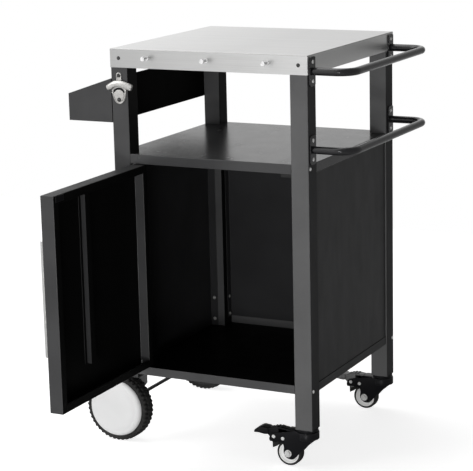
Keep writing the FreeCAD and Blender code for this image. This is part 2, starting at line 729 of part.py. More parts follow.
def door_pull():
    axis_y = DOOR_FRONT - PULL_STAND
    bar = rod(point(PULL_X, axis_y, PULL_BOTTOM), UPWARD, PULL_RADIUS, PULL_TOP - PULL_BOTTOM)
    bar = rounded(bar, 0.8, lambda edge: True if len(edge.Vertexes) == 1 else False)
    posts = [rod(point(PULL_X, DOOR_FRONT, z), FORWARD, PULL_POST_RADIUS, PULL_STAND) for z in pull_posts()]
    pull = fuse_all([bar] + posts)
    bores = [rod(point(PULL_X, DOOR_FRONT, z), FORWARD, SCREW_SHANK_RADIUS + SEAT_GAP, SCREW_SHANK)
             for z in pull_posts()]
    return opened(cut_all(pull, bores))


def door_pull_screws():
    return [opened(screw) for screw in screws(pull_screw_seats())]


def hinge_bush(skin, inward):
    long = BUSH_FLANGE_THICK + DOOR_SHEET + BUSH_TAIL
    start = point(PIN_X, PIN_Y, skin) - inward * BUSH_FLANGE_THICK
    body = rod(start, inward, BUSH_RADIUS, long)
    flange = rod(start, inward, BUSH_RADIUS + BUSH_FLANGE, BUSH_FLANGE_THICK)
    bore = rod(start, inward, PIN_RADIUS + RUNNING_GAP, long)
    return opened(fuse_all([body, flange]).cut(bore))


def hinge_bushes():
    return [hinge_bush(DOOR_TOP, DOWNWARD), hinge_bush(DOOR_BOTTOM, UPWARD)]


def catch_strike():
    middle = CATCH_LEFT + CATCH_WIDE / 2
    high = DOOR_TOP - DOOR_BEND
    plate = block(
        middle - STRIKE_WIDE / 2, middle + STRIKE_WIDE / 2, DOOR_BACK, DOOR_BACK + STRIKE_THICK,
        high - STRIKE_TALL, high,
    )
    return opened(plate)


def bar_plate(y, z):
    half_wide = BAR_PLATE_WIDE / 2
    half_tall = BAR_PLATE_TALL / 2
    front = bar_plate_face(z)
    back = front - BAR_PLATE_THICK
    plate = block(back, front, y - half_wide, y + half_wide, z - half_tall, z + half_tall)
    plate = rounded(plate, BAR_PLATE_CORNER, lambda edge: along(edge, RIGHTWARD))
    apron_low = CART_HEIGHT - LID_FLANGE
    if z > apron_low:
        pad = block(
            CART_WIDTH - LID_SHEET, back, y - half_wide, y + half_wide, z - half_tall, apron_low,
        )
        shape = rounded(
            block(back - LID_SHEET, front, y - half_wide, y + half_wide, z - half_tall, z + half_tall),
            BAR_PLATE_CORNER, lambda edge: along(edge, RIGHTWARD),
        )
        plate = fuse_all([plate, pad.common(shape)])
    seats = [(point(front, y, z + offset), RIGHTWARD) for offset in (-BAR_SCREW_OFFSET, BAR_SCREW_OFFSET)]
    return drilled(plate, seats)


def towel_bar_plates():
    ends = (BAR_END_INSET, CART_DEPTH - BAR_END_INSET)
    return [bar_plate(y, z) for z in (UPPER_BAR_Z, LOWER_BAR_Z) for y in ends]


def towel_bar(z):
    front = BAR_END_INSET
    rear = CART_DEPTH - BAR_END_INSET
    start = bar_plate_face(z)
    corners = [
        point(start, front, z), point(BAR_AXIS_X, front, z),
        point(BAR_AXIS_X, rear, z), point(start, rear, z),
    ]
    outer = bent_rod(corners, BAR_BEND, BAR_RADIUS)
    inner = bent_rod(corners, BAR_BEND, BAR_RADIUS - BAR_WALL)
    return outer.cut(inner)


def tray_panes():
    sheet = TRAY_SHEET
    floor = TRAY_BOTTOM + sheet
    high = TRAY_INNER_TOP
    rear = CART_DEPTH - sheet
    inner = LID_SHEET - sheet
    outer = -TRAY_REACH + sheet
    return [
        block(-TRAY_REACH, LID_SHEET, 0, CART_DEPTH, TRAY_BOTTOM, floor),
        block(-TRAY_REACH, LID_SHEET, 0, sheet, floor, high),
        block(-TRAY_REACH, LID_SHEET, rear, CART_DEPTH, floor, high),
        block(-TRAY_REACH, outer, sheet, rear, floor, high),
        block(inner, LID_SHEET, sheet, rear, floor, high),
    ]


# The tray is one folded sheet with its ends, given as flat panes that meet at its folds
def side_tray():
    sheet = TRAY_SHEET
    outline = [(-TRAY_REACH, TRAY_BOTTOM), (LID_SHEET, TRAY_BOTTOM), (LID_SHEET, TRAY_INNER_TOP),
               (LID_SHEET - sheet, TRAY_INNER_TOP), (-TRAY_REACH, TRAY_OUTER_TOP)]
    body = side_profile(outline, 0, CART_DEPTH)
    high = TRAY_INNER_TOP
    hollow = block(
        -TRAY_REACH + sheet, LID_SHEET - sheet, sheet, CART_DEPTH - sheet, TRAY_BOTTOM + sheet, high,
    )
    tray = drilled(body.cut(hollow), tray_screw_seats())
    return [tray.common(pane) for pane in tray_panes()]


def opener_outline(points, y0, y1):
    shifted = [(OPENER_CENTRE_X + x, OPENER_CENTRE_Z + z) for x, z in points]
    return side_profile(shifted, y0, y1)


def bottle_opener():
    face = LEG_FRONT_Y
    plate = opener_outline(OPENER_PLATE_OUTLINE, face - OPENER_SHEET, face)
    hood = opener_outline(OPENER_HOOD_OUTLINE, face - OPENER_HOOD_REACH, face - OPENER_SHEET)
    hood = rounded(hood, 1.0, lambda edge: abs(edge.BoundBox.YMax - (face - OPENER_HOOD_REACH)) < 0.01)
    shape = fuse_all([plate, hood])
    return drilled(shape, opener_screw_seats())


def lug_grooves():
    cutters = []
    for index in range(LUG_COUNT):
        angle = 360.0 * (index + 0.5) / LUG_COUNT
        for low in (0.0, WHEEL_WIDE - LUG_GROOVE_LONG):
            groove = block(
                WHEEL_RADIUS - LUG_GROOVE_DEEP, WHEEL_RADIUS + 1, -LUG_GROOVE_WIDE / 2, LUG_GROOVE_WIDE / 2,
                low, low + LUG_GROOVE_LONG,
            )
            groove.rotate(point(0, 0, 0), UPWARD, angle)
            cutters.append(groove)
    return cutters


def tyre_profile():
    wide = WHEEL_WIDE
    return [
        (TYRE_INNER_RADIUS, 0.0), (TYRE_INNER_RADIUS + TYRE_SHOULDER, 0.0), (WHEEL_RADIUS - 2.0, 2.0),
        (WHEEL_RADIUS, TYRE_SHOULDER), (WHEEL_RADIUS, wide - TYRE_SHOULDER),
        (WHEEL_RADIUS - 2.0, wide - 2.0),
        (TYRE_INNER_RADIUS + TYRE_SHOULDER, wide), (TYRE_INNER_RADIUS, wide),
    ]


# Large wheel pieces stand on the axis with the outer side at height zero
def large_tyre():
    tyre = turned(tyre_profile(), point(0, 0, 0), UPWARD)
    tyre = cut_all(tyre, lug_grooves())
    tyre.rotate(point(0, 0, 0), UPWARD, -90)
    return tyre


def large_rim():
    outer = TYRE_INNER_RADIUS
    low = 0.5
    high = WHEEL_WIDE - 0.5
    middle = WHEEL_WIDE / 2
    boss_low = -1.9
    boss_high = AXLE_BRACKET_Y - WHEEL_FACE_Y - AXLE_WASHER_THICK - FACE_GAP
    hoop = ring(point(0, 0, low), UPWARD, outer, outer - RIM_RING, high - low)
    web = ring(point(0, 0, middle - RIM_WEB / 2), UPWARD, outer - RIM_RING / 2, AXLE_RADIUS + 1, RIM_WEB)
    boss = rod(point(0, 0, boss_low), UPWARD, RIM_BOSS_RADIUS, boss_high - boss_low)
    ribs = []
    for index in range(RIM_RIB_COUNT):
        half = RIM_RIB_THICK / 2
        rib = block(RIM_BOSS_RADIUS / 2, outer - RIM_RING / 2, -half, half, 6.0, high - 2.0)
        rib.rotate(point(0, 0, 0), UPWARD, 360.0 * index / RIM_RIB_COUNT)
        ribs.append(rib)
    body = fuse_all([hoop, web, boss] + ribs)
    return body.cut(rod(point(0, 0, boss_low), UPWARD, AXLE_RADIUS + RUNNING_GAP, boss_high - boss_low))


def hub_cap():
    rim_low = 0.5
    shell = HUB_CAP_SHELL
    stand = HUB_CAP_STAND
    edge = TYRE_INNER_RADIUS - 0.2
    outline = [
        (0.0, -stand), (edge - 10.0, -stand + 0.6), (edge - 4.5, -stand + 2.0), (edge - 1.2, -stand + 5.0),
        (edge, -stand + 8.0), (edge, rim_low), (edge - shell, rim_low), (edge - shell, -stand + 8.0),
        (edge - shell - 1.2, -stand + 5.8), (edge - shell - 4.5, -stand + 3.6), (0.0, -stand + shell + 0.2),
    ]
    return turned(outline, point(0, 0, 0), UPWARD)


def front_wheel(shape):
    placed = shape.copy()
    placed.Placement = FreeCAD.Placement(
        point(WHEEL_AXIS_X, WHEEL_FACE_Y, AXLE_Z), FreeCAD.Rotation(UPWARD, BACKWARD),
    ).multiply(placed.Placement)
    return placed


def rear_wheel(shape):
    placed = shape.copy()
    placed.Placement = FreeCAD.Placement(
        point(WHEEL_AXIS_X, CART_DEPTH - WHEEL_FACE_Y, AXLE_Z), FreeCAD.Rotation(UPWARD, FORWARD),
    ).multiply(placed.Placement)
    return placed


def axle():
    inset = HUB_FACE_Y + HUB_CAP_SHELL + 0.9
    return rod(point(WHEEL_AXIS_X, inset, AXLE_Z), BACKWARD, AXLE_RADIUS, CART_DEPTH - 2 * inset)


def axle_ring(y, radius, thick):
    return ring(point(WHEEL_AXIS_X, y, AXLE_Z), BACKWARD, radius, AXLE_RADIUS + SEAT_GAP, thick)


def axle_washers():
    front = AXLE_BRACKET_Y - AXLE_WASHER_THICK
    rear = CART_DEPTH - AXLE_BRACKET_Y
    return [axle_ring(y, AXLE_WASHER_RADIUS, AXLE_WASHER_THICK) for y in (front, rear)]


def axle_retainers():
    front = WHEEL_FACE_Y - 1.9 - FACE_GAP - RETAINER_THICK
    rear = CART_DEPTH - front - RETAINER_THICK
    return [axle_ring(y, RETAINER_RADIUS, RETAINER_THICK) for y in (front, rear)]


def axle_bracket():
    y = AXLE_BRACKET_Y
    foot = AXLE_BRACKET_FOOT_RADIUS
    outline = [
        (AXLE_BRACKET_LEFT, FLOOR_UNDER), (AXLE_BRACKET_RIGHT, FLOOR_UNDER),
        (AXLE_BRACKET_RIGHT, AXLE_BRACKET_KNEE_Z), (WHEEL_AXIS_X + foot * 0.77, AXLE_Z - foot * 0.64),
        (WHEEL_AXIS_X, AXLE_Z), (WHEEL_AXIS_X - foot * 0.94, AXLE_Z + foot * 0.33),
    ]
    plate = side_profile(outline, y, y + AXLE_BRACKET_SHEET)
    eye = rod(point(WHEEL_AXIS_X, y, AXLE_Z), BACKWARD, foot, AXLE_BRACKET_SHEET)
    flange = block(
        AXLE_BRACKET_LEFT, AXLE_BRACKET_RIGHT, y, y + AXLE_BRACKET_FLANGE,
        FLOOR_UNDER - AXLE_BRACKET_SHEET, FLOOR_UNDER,
    )
    bracket = fuse_all([plate, eye, flange])
    hole = rod(point(WHEEL_AXIS_X, y, AXLE_Z), BACKWARD, AXLE_RADIUS + SEAT_GAP, AXLE_BRACKET_SHEET)
    return bracket.cut(hole)


def axle_brackets():
    front = axle_bracket()
    rear = front.mirror(point(0, CART_DEPTH / 2, 0), BACKWARD)
    return [front, rear]


# Caster pieces stand on the swivel axis, the wheel trailing to the left
def caster_at(shape, y):
    placed = shape.copy()
    placed.translate(point(SWIVEL_X, y, 0))
    return placed


def both_casters(shape):
    return [caster_at(shape, SWIVEL_FRONT_Y), caster_at(shape, SWIVEL_REAR_Y)]


def caster_socket():
    half = LEG_SIDE / 2 - LEG_WALL
    plug = block(-half, half, -half, half, RIGHT_LEG_BOTTOM, RIGHT_LEG_BOTTOM + SOCKET_TALL)
    return plug.cut(rod(point(0, 0, RIGHT_LEG_BOTTOM), UPWARD, STEM_RADIUS + SEAT_GAP, SOCKET_TALL))


def caster_race():
    low = RIGHT_LEG_BOTTOM - TOP_RACE_TALL
    return ring(point(0, 0, low), UPWARD, TOP_RACE_RADIUS, STEM_RADIUS + SEAT_GAP, TOP_RACE_TALL)


def caster_stem():
    plate_under = FORK_TOP_Z - FORK_TOP_SHEET
    foot_top = plate_under - SWEEP_GAP
    foot = rod(point(0, 0, foot_top - STEM_FOOT_TALL), UPWARD, STEM_FOOT_RADIUS, STEM_FOOT_TALL)
    top = RIGHT_LEG_BOTTOM + STEM_LENGTH
    shaft = rod(point(0, 0, foot_top - STEM_FOOT_TALL), UPWARD, STEM_RADIUS, top - foot_top + STEM_FOOT_TALL)
    return fuse_all([foot, shaft])


def across(spot, radius, half):
    return rod(point(spot[0], -half, spot[1]), BACKWARD, radius, 2 * half)


def wheel_spot():
    return (-CASTER_TRAIL, CASTER_RADIUS)


def caster_fork():
    outer_half = FORK_INNER_HALF + FORK_SHEET
    plate_under = FORK_TOP_Z - FORK_TOP_SHEET
    cheeks = [
        side_profile(FORK_CHEEK_OUTLINE, FORK_INNER_HALF, outer_half),
        side_profile(FORK_CHEEK_OUTLINE, -outer_half, -FORK_INNER_HALF),
    ]
    crown = rod(point(0, 0, plate_under), UPWARD, FORK_CROWN_RADIUS, FORK_TOP_SHEET)
    neck = block(-44.0, 0, -outer_half, outer_half, plate_under, FORK_TOP_Z)
    neck = rounded(neck, 4.0, lambda edge: upright(edge) and edge.Vertexes[0].X < -1)
    skirt = ring(
        point(0, 0, FORK_SKIRT_BOTTOM), UPWARD, FORK_CROWN_RADIUS, FORK_CROWN_RADIUS - FORK_SHEET,
        plate_under - FORK_SKIRT_BOTTOM,
    )
    skirt = skirt.common(block(-8.0, FORK_CROWN_RADIUS, -30.0, 30.0, FORK_SKIRT_BOTTOM, plate_under))
    crown_edge = rounded(crown, 1.2, lambda edge: at_height(edge, FORK_TOP_Z))
    race = rod(point(0, 0, FORK_TOP_Z), UPWARD, FORK_RACE_RADIUS, FORK_RACE_TALL)
    fork = fuse_all([crown_edge, neck, skirt, race] + cheeks)
    bore = rod(point(0, 0, plate_under), UPWARD, STEM_RADIUS + RUNNING_GAP, FORK_TOP_SHEET + FORK_RACE_TALL)
    bolt_hole = across(wheel_spot(), BOLT_RADIUS + SEAT_GAP, outer_half)
    pivots = [across(spot, RIVET_RADIUS + SEAT_GAP, outer_half) for spot in (BRAKE_PIVOT, STOP_RIVET)]
    return cut_all(fork, [bore, bolt_hole] + pivots)


def hexagon(spot, y0, y1, radius):
    corners = []
    for index in range(6):
        angle = math.radians(60 * index + 15)
        corners.append((spot[0] + radius * math.cos(angle), spot[1] + radius * math.sin(angle)))
    return side_profile(corners, y0, y1)


def caster_bolt():
    spot = wheel_spot()
    outer = FORK_INNER_HALF + FORK_SHEET
    washer = rod(point(spot[0], -outer, spot[1]), FORWARD, BOLT_HEAD_RADIUS + 1.4, 1.0)
    head = hexagon(spot, -outer - 1.0 - BOLT_HEAD_TALL, -outer - 1.0, BOLT_HEAD_RADIUS)
    shank = across(spot, BOLT_RADIUS, outer)
    nut = hexagon(spot, outer, outer + BOLT_HEAD_TALL, BOLT_HEAD_RADIUS)
    return fuse_all([washer, head, shank, nut])


def caster_rivets():
    outer = FORK_INNER_HALF + FORK_SHEET
    rivets = []
    for spot in (BRAKE_PIVOT, STOP_RIVET):
        pin = across(spot, RIVET_RADIUS, outer)
        heads = [
            rod(point(spot[0], -outer, spot[1]), FORWARD, RIVET_HEAD_RADIUS, RIVET_HEAD_TALL),
            rod(point(spot[0], outer, spot[1]), BACKWARD, RIVET_HEAD_RADIUS, RIVET_HEAD_TALL),
        ]
        heads = [
            rounded(head, 1.0, lambda edge: abs(abs(edge.BoundBox.Center.y) - outer) > 1) for head in heads
        ]
        rivets.append(fuse_all([pin] + heads))
    return rivets


def caster_wheel():
    spot = wheel_spot()
    radius = CASTER_RADIUS - CASTER_TYRE_WALL
    body = across(spot, radius, CASTER_TYRE_HALF)
    dishes = []
    for side in (-1, 1):
        face = side * CASTER_TYRE_HALF
        start = point(spot[0], face, spot[1])
        dishes.append(ring(start, BACKWARD * -side, radius - 3.0, 10.0, CASTER_DISH))
    body = cut_all(body, dishes)
    body = fuse_all([body, across(spot, 9.5, CASTER_HALF_WIDE + 0.5)])
    return body.cut(across(spot, BOLT_RADIUS + RUNNING_GAP, CASTER_HALF_WIDE + 0.5))


def caster_tyre():
    radius = CASTER_RADIUS
    inner = CASTER_RADIUS - CASTER_TYRE_WALL
    half = CASTER_TYRE_HALF
    outline = [
        (inner, -half), (radius - 1.6, -half), (radius - 0.5, -half + 1.0), (radius, -half + 3.0),
        (radius, half - 3.0), (radius - 0.5, half - 1.0), (radius - 1.6, half), (inner, half),
    ]
    spot = wheel_spot()
    return turned(outline, point(spot[0], 0, spot[1]), BACKWARD)


def pedal_sheet_outline():
    under = [(x, z - PEDAL_SHEET) for x, z in reversed(PEDAL_TOP_LINE)]
    return PEDAL_TOP_LINE + under


def brake_pedal():
    pad_half = PEDAL_PAD_HALF
    neck_half = PEDAL_NECK_HALF
    sheet = side_profile(pedal_sheet_outline(), -pad_half, pad_half)
    low = BRAKE_PIVOT[1] - PEDAL_TRIM_REACH
    high = BRAKE_PIVOT[1] + PEDAL_TRIM_REACH
    trims = [
        block(PEDAL_NECK_X, 0, neck_half, pad_half, low, high),
        block(PEDAL_NECK_X, 0, -pad_half, -neck_half, low, high),
    ]
    webs = [
        side_profile(PAD_WEB_OUTLINE, pad_half - PEDAL_EAR_SHEET, pad_half),
        side_profile(PAD_WEB_OUTLINE, -pad_half, -pad_half + PEDAL_EAR_SHEET),
    ]
    ears = [
        side_profile(PEDAL_EAR_OUTLINE, neck_half - PEDAL_EAR_SHEET, neck_half),
        side_profile(PEDAL_EAR_OUTLINE, -neck_half, -neck_half + PEDAL_EAR_SHEET),
    ]
    pedal = fuse_all([cut_all(sheet, trims)] + webs + ears)
    return pedal.cut(across(BRAKE_PIVOT, RIVET_RADIUS + RUNNING_GAP, pad_half))


def pressed_wheel_spot():
    angle = math.radians(BRAKE_TRAVEL)
    dx = -CASTER_TRAIL - BRAKE_PIVOT[0]
    dz = CASTER_RADIUS - BRAKE_PIVOT[1]
    x = dx * math.cos(angle) + dz * math.sin(angle)
    z = -dx * math.sin(angle) + dz * math.cos(angle)
    return (BRAKE_PIVOT[0] + x, BRAKE_PIVOT[1] + z)


def brake_shoe():
    half = PEDAL_NECK_HALF - PEDAL_EAR_SHEET
    shoe = side_profile(SHOE_OUTLINE, -half, half)
    return shoe.cut(across(pressed_wheel_spot(), CASTER_RADIUS + SWEEP_GAP, half))


def save(node, shapes):
    solids = shapes if isinstance(shapes, list) else [shapes]
    moved = []
    for solid in solids:
        shape = solid.copy()
        shape.translate(FRAME_SHIFT)
        moved.append(shape)
    whole = moved[0] if len(moved) == 1 else Part.makeCompound(moved)
    whole.exportStep("parts/" + node + ".step")
    box = whole.BoundBox
    print(node, len(whole.Solids), whole.isValid(), [round(v, 1) for v in (
        box.XMin, box.XMax, box.YMin, box.YMax, box.ZMin, box.ZMax)])


def build():
    save("worktop", worktop())
    save("apron_screws", screws(apron_screw_seats()))
    save("tool_hooks", tool_hooks())
    save("leg_front_left", leg(LEG_LEFT_X, LEG_FRONT_Y, LEFT_LEG_BOTTOM))
    save("leg_rear_left", leg(LEG_LEFT_X, LEG_REAR_Y, LEFT_LEG_BOTTOM))
    save("leg_front_right", leg(LEG_RIGHT_X, LEG_FRONT_Y, RIGHT_LEG_BOTTOM))
    save("leg_rear_right", leg(LEG_RIGHT_X, LEG_REAR_Y, RIGHT_LEG_BOTTOM))
    save("leg_end_caps", end_caps())
    save("middle_shelf", middle_shelf())
    save("bottom_shelf", bottom_shelf())
    save("shelf_screws", screws(shelf_screw_seats()))
    save("side_panel_left", side_panel(SHELF_LEFT, 1))
    save("side_panel_right", side_panel(SHELF_RIGHT, -1))
    save("back_panel", back_panel())
    save("panel_screws", screws(panel_screw_seats()))
    save("hinge_brackets", hinge_brackets())
    save("hinge_pins", [upper_pin(), lower_pin()])
    save("magnet_catch", magnet_catch())
    save("side_tray", side_tray())
    save("tray_screws", screws(tray_screw_seats()))
    save("bottle_opener", bottle_opener())
    save("opener_screws", screws(opener_screw_seats()))
    save("towel_bar_upper", towel_bar(UPPER_BAR_Z))
    save("towel_bar_lower", towel_bar(LOWER_BAR_Z))
    save("towel_bar_plates", towel_bar_plates())
    save("towel_bar_screws", screws(bar_screw_seats()))
    save("axle_brackets", axle_brackets())
    save("axle", axle())
    save("axle_washers", axle_washers())
    save("axle_retainers", axle_retainers())
    save("caster_sockets", both_casters(caster_socket()))
    save("caster_races", both_casters(caster_race()))
    save("caster_stems", both_casters(caster_stem()))
    save("door_shell", door_shell())
    save("door_stiffener", door_stiffener())
    save("door_pull", door_pull())
    save("door_pull_screws", door_pull_screws())
    save("hinge_bushes", hinge_bushes())
    save("catch_strike", catch_strike())
    large = {"tyre": large_tyre(), "rim": large_rim(), "hub_cap": hub_cap()}
    for name, shape in large.items():
        save("front_wheel_" + name, front_wheel(shape))
        save("rear_wheel_" + name, rear_wheel(shape))
    casters = {
        "fork": caster_fork(), "axle_bolt": caster_bolt(), "wheel": caster_wheel(),
        "tyre": caster_tyre(), "pedal": brake_pedal(), "brake_shoe": brake_shoe(),
    }
    for place, y in (("front", SWIVEL_FRONT_Y), ("rear", SWIVEL_REAR_Y)):
        for name, shape in casters.items():
            save(place + "_caster_" + name, caster_at(shape, y))
        save(place + "_caster_rivets", [caster_at(rivet, y) for rivet in caster_rivets()])


build()
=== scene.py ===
# %% [markdown]
# # Grill cart with storage
# A cart that stands beside a grill: a steel worktop on four legs, an open shelf, a cabinet
# with a door, a side tray, two towel bars, two wheels and two casters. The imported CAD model
# is the fixed frame: it says where every sheet, tube, screw and wheel is. This script dresses
# it. It loads the frame, gives each node a procedural material, adds the small formed pieces
# that pressed sheet, rubber and castings show, and sets a plain studio round it.
# Lengths are metres, X runs to the right, Y to the back and Z up.

# %% Load the frame
import math

import bmesh
import bpy
from mathutils import Matrix, Vector


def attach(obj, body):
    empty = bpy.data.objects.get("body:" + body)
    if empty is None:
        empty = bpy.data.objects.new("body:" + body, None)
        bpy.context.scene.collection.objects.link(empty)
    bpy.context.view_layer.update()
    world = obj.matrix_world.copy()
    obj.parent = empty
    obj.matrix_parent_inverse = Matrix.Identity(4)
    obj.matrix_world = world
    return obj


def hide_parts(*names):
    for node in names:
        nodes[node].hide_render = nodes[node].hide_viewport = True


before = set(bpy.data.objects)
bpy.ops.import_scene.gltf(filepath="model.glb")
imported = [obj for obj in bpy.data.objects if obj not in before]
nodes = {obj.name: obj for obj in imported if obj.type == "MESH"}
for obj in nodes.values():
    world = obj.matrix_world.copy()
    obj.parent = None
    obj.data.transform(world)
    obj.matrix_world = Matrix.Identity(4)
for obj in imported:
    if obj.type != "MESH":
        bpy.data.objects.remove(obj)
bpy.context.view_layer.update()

# %% [markdown]
# ## Small helpers for materials
# A few node recipes come back in every material: a fresh material with one shader, a range
# that is spread to another, two colours blended by a mask, and a bump. They could be written
# out each time, but short functions make the materials below read like a description.

# %% Material helpers
# The Mix node's sockets go by number.
MIX_COLOURS = (6, 7)
MIX_VALUES = (0, 2, 3)
COLOUR_RESULT = 2


def start_material(name):
    material = bpy.data.materials.new(name)
    material.use_nodes = True
    tree = material.node_tree
    tree.nodes.clear()
    output = tree.nodes.new("ShaderNodeOutputMaterial")
    shader = tree.nodes.new("ShaderNodeBsdfPrincipled")
    tree.links.new(shader.outputs["BSDF"], output.inputs["Surface"])
    return material, tree, shader


def spread(tree, value, low, high, new_low, new_high):
    node = tree.nodes.new("ShaderNodeMapRange")
    ends = {"From Min": low, "From Max": high, "To Min": new_low, "To Max": new_high}
    for label, end in ends.items():
        node.inputs[label].default_value = end
    tree.links.new(value, node.inputs["Value"])
    return node.outputs["Result"]


def spread_mask(tree, mask, new_low, new_high):
    return spread(tree, mask, 0.0, 1.0, new_low, new_high)


def blend_colours(tree, mask, first, second):
    node = tree.nodes.new("ShaderNodeMix")
    node.data_type = "RGBA"
    tree.links.new(mask, node.inputs["Factor"])
    for index, colour in zip(MIX_COLOURS, (first, second)):
        if isinstance(colour, tuple):
            node.inputs[index].default_value = colour + (1.0,)
        else:
            tree.links.new(colour, node.inputs[index])
    return node.outputs[COLOUR_RESULT]


def blend_values(tree, mask, first, second):
    node = tree.nodes.new("ShaderNodeMix")
    for index, value in zip(MIX_VALUES, (mask, first, second)):
        tree.links.new(value, node.inputs[index])
    return node.outputs[0]


def calculated(tree, operation, first, second):
    node = tree.nodes.new("ShaderNodeMath")
    node.operation = operation
    tree.links.new(first, node.inputs[0])
    tree.links.new(second, node.inputs[1])
    return node.outputs[0]


def coordinate(tree, kind, axis):
    """One axis of a place, or of the direction in which a face looks."""
    place = tree.nodes.new("ShaderNodeTexCoord")
    parts = tree.nodes.new("ShaderNodeSeparateXYZ")
    tree.links.new(place.outputs[kind], parts.inputs["Vector"])
    return parts.outputs[axis]


def bump(tree, height, distance, normal, strength=1.0):
    node = tree.nodes.new("ShaderNodeBump")
    node.inputs["Strength"].default_value = strength
    node.inputs["Distance"].default_value = distance
    tree.links.new(height, node.inputs["Height"])
    tree.links.new(normal, node.inputs["Normal"])
    return node.outputs["Normal"]


def fill(tree, shader, base, roughness, normal):
    """Link the three things that every finish here changes over the surface."""
    for label, source in (("Base Color", base), ("Roughness", roughness), ("Normal", normal)):
        tree.links.new(source, shader.inputs[label])


def grey(level):
    return (level, level, level)


def scaled(colour, factor):
    return tuple(min(1.0, channel * factor) for channel in colour)


print("material helpers ready")

# %% [markdown]
# ## Edge wear, as a node group
# Folded, cast and moulded edges are never knife sharp, and a coat wears thin there first.
# Real chamfers on all 59 nodes would mean other meshes, so edges are rounded in shading: a
# Bevel node gives a normal that turns over a small radius, and where it differs from the
# true one lies the edge. The group is built once and placed with each material's radius.

# %% Edge wear group
FLOAT = "NodeSocketFloat"
VECTOR = "NodeSocketVector"
EDGE_RADIUS = 0.0008
BEVEL_SAMPLES = 6
FLAT_LIKENESS = 0.995
EDGE_LIKENESS = 0.8


def new_group(name, inputs, outputs):
    """A shader node group with named sockets, and its two end nodes."""
    group = bpy.data.node_groups.new(name, "ShaderNodeTree")
    for label, kind, value in inputs:
        socket = group.interface.new_socket(name=label, in_out="INPUT", socket_type=kind)
        socket.default_value = value
    for label, kind in outputs:
        group.interface.new_socket(name=label, in_out="OUTPUT", socket_type=kind)
    return group, group.nodes.new("NodeGroupInput"), group.nodes.new("NodeGroupOutput")


def edge_wear_group():
    group, given, result = new_group(
        "edge_wear", [("Radius", FLOAT, EDGE_RADIUS)], [("Normal", VECTOR), ("Mask", FLOAT)],
    )
    bevel = group.nodes.new("ShaderNodeBevel")
    bevel.samples = BEVEL_SAMPLES
    geometry = group.nodes.new("ShaderNodeNewGeometry")
    likeness = group.nodes.new("ShaderNodeVectorMath")
    likeness.operation = "DOT_PRODUCT"
    group.links.new(given.outputs["Radius"], bevel.inputs["Radius"])
    group.links.new(bevel.outputs["Normal"], likeness.inputs[0])
    group.links.new(geometry.outputs["Normal"], likeness.inputs[1])
    mask = spread(group, likeness.outputs["Value"], FLAT_LIKENESS, EDGE_LIKENESS, 0.0, 1.0)
    group.links.new(bevel.outputs["Normal"], result.inputs["Normal"])
    group.links.new(mask, result.inputs["Mask"])
    return group


EDGE_WEAR = edge_wear_group()


def placed(tree, group, values):
    """The group as a node with this material's values; gives its two outputs."""
    node = tree.nodes.new("ShaderNodeGroup")
    node.node_tree = group
    for label, value in values.items():
        node.inputs[label].default_value = value
    return node.outputs[0], node.outputs[1]


def edge_wear(tree, radius):
    """Rounded normal and edge mask; the radius is in metres."""
    return placed(tree, EDGE_WEAR, {"Radius": radius})


print("node group", EDGE_WEAR.name)

# %% [markdown]
# ## Surface grain, as a node group
# Ripple, brushing, dust and cloudiness look different, but each is a noise of its own size,
# stretched or even, read in the piece's own coordinates, so that it moves with a door or a
# wheel. Each could have its own nodes, but one group keeps the materials alike: it puts out
# the noise as a height for bumps and as a mask between two levels for tones.

# %% Surface grain group
EVEN = (1.0, 1.0, 1.0)


def surface_grain_group():
    group, given, result = new_group(
        "surface_grain",
        [("Stretch", VECTOR, EVEN), ("Size", FLOAT, 100.0), ("Detail", FLOAT, 2.0),
         ("Roughness", FLOAT, 0.5), ("Low", FLOAT, 0.3), ("High", FLOAT, 0.7)],
        [("Height", FLOAT), ("Mask", FLOAT)],
    )
    place = group.nodes.new("ShaderNodeTexCoord")
    mapping = group.nodes.new("ShaderNodeMapping")
    texture = group.nodes.new("ShaderNodeTexNoise")
    levels = group.nodes.new("ShaderNodeMapRange")
    for source, out, target, into in (
        (place, "Object", mapping, "Vector"), (given, "Stretch", mapping, "Scale"),
        (mapping, "Vector", texture, "Vector"), (given, "Size", texture, "Scale"),
        (given, "Detail", texture, "Detail"), (given, "Roughness", texture, "Roughness"),
        (texture, "Fac", levels, "Value"), (given, "Low", levels, "From Min"),
        (given, "High", levels, "From Max"), (texture, "Fac", result, "Height"),
        (levels, "Result", result, "Mask"),
    ):
        group.links.new(source.outputs[out], target.inputs[into])
    return group


SURFACE_GRAIN = surface_grain_group()


def grain(tree, size, detail, low=0.3, high=0.7, roughness=0.5, stretch=EVEN):
    """Height and mask of one noise; size counts its blobs per metre."""
    return placed(tree, SURFACE_GRAIN, {
        "Stretch": stretch, "Size": size, "Detail": detail,
        "Roughness": roughness, "Low": low, "High": high,
    })


print("node group", SURFACE_GRAIN.name)

# %% [markdown]
# ## Powder coat, the recipe
# The frame, shelves and door are steel tube and sheet under a satin black powder coat, which
# is sprayed on as dust and baked. One flat black would look like paper. The coat has an
# orange-peel ripple a millimetre wide, a slow cloudiness, fine specks, handling marks that
# change only its shine, and a lighter rubbed line along folded edges. Faces that look one way,
# mostly inner ones, get painted shade: a deeper black than the rest. Dim light would do that
# too, but would darken the fronts as well, so a mask finds those faces by the way they look.

# %% Powder coat recipe
# Painted shade: the near-black of faces turned away from the light.
PAINTED_SHADE_BLACK = grey(0.004)
BLUE_TRACE = 0.001
FACES_FROM = 0.55
FACES_FULLY = 0.8
# Size and detail of each noise, then its low and high level, roughness and stretch.
PEEL = (700.0, 1.5)
CLOUD = (9.0, 3.0)
SPECKS = (2600.0, 0.0, 0.62, 0.75)
HANDLING = (26.0, 6.0, 0.35, 0.7, 0.62, (1.0, 1.0, 0.35))
CLOUD_LIFT = 1.28
SPECK_LIFT = 1.7
SPECK_SHARE = 0.5
PATCHES = (0.0, 0.86, 0.25, 1.0)


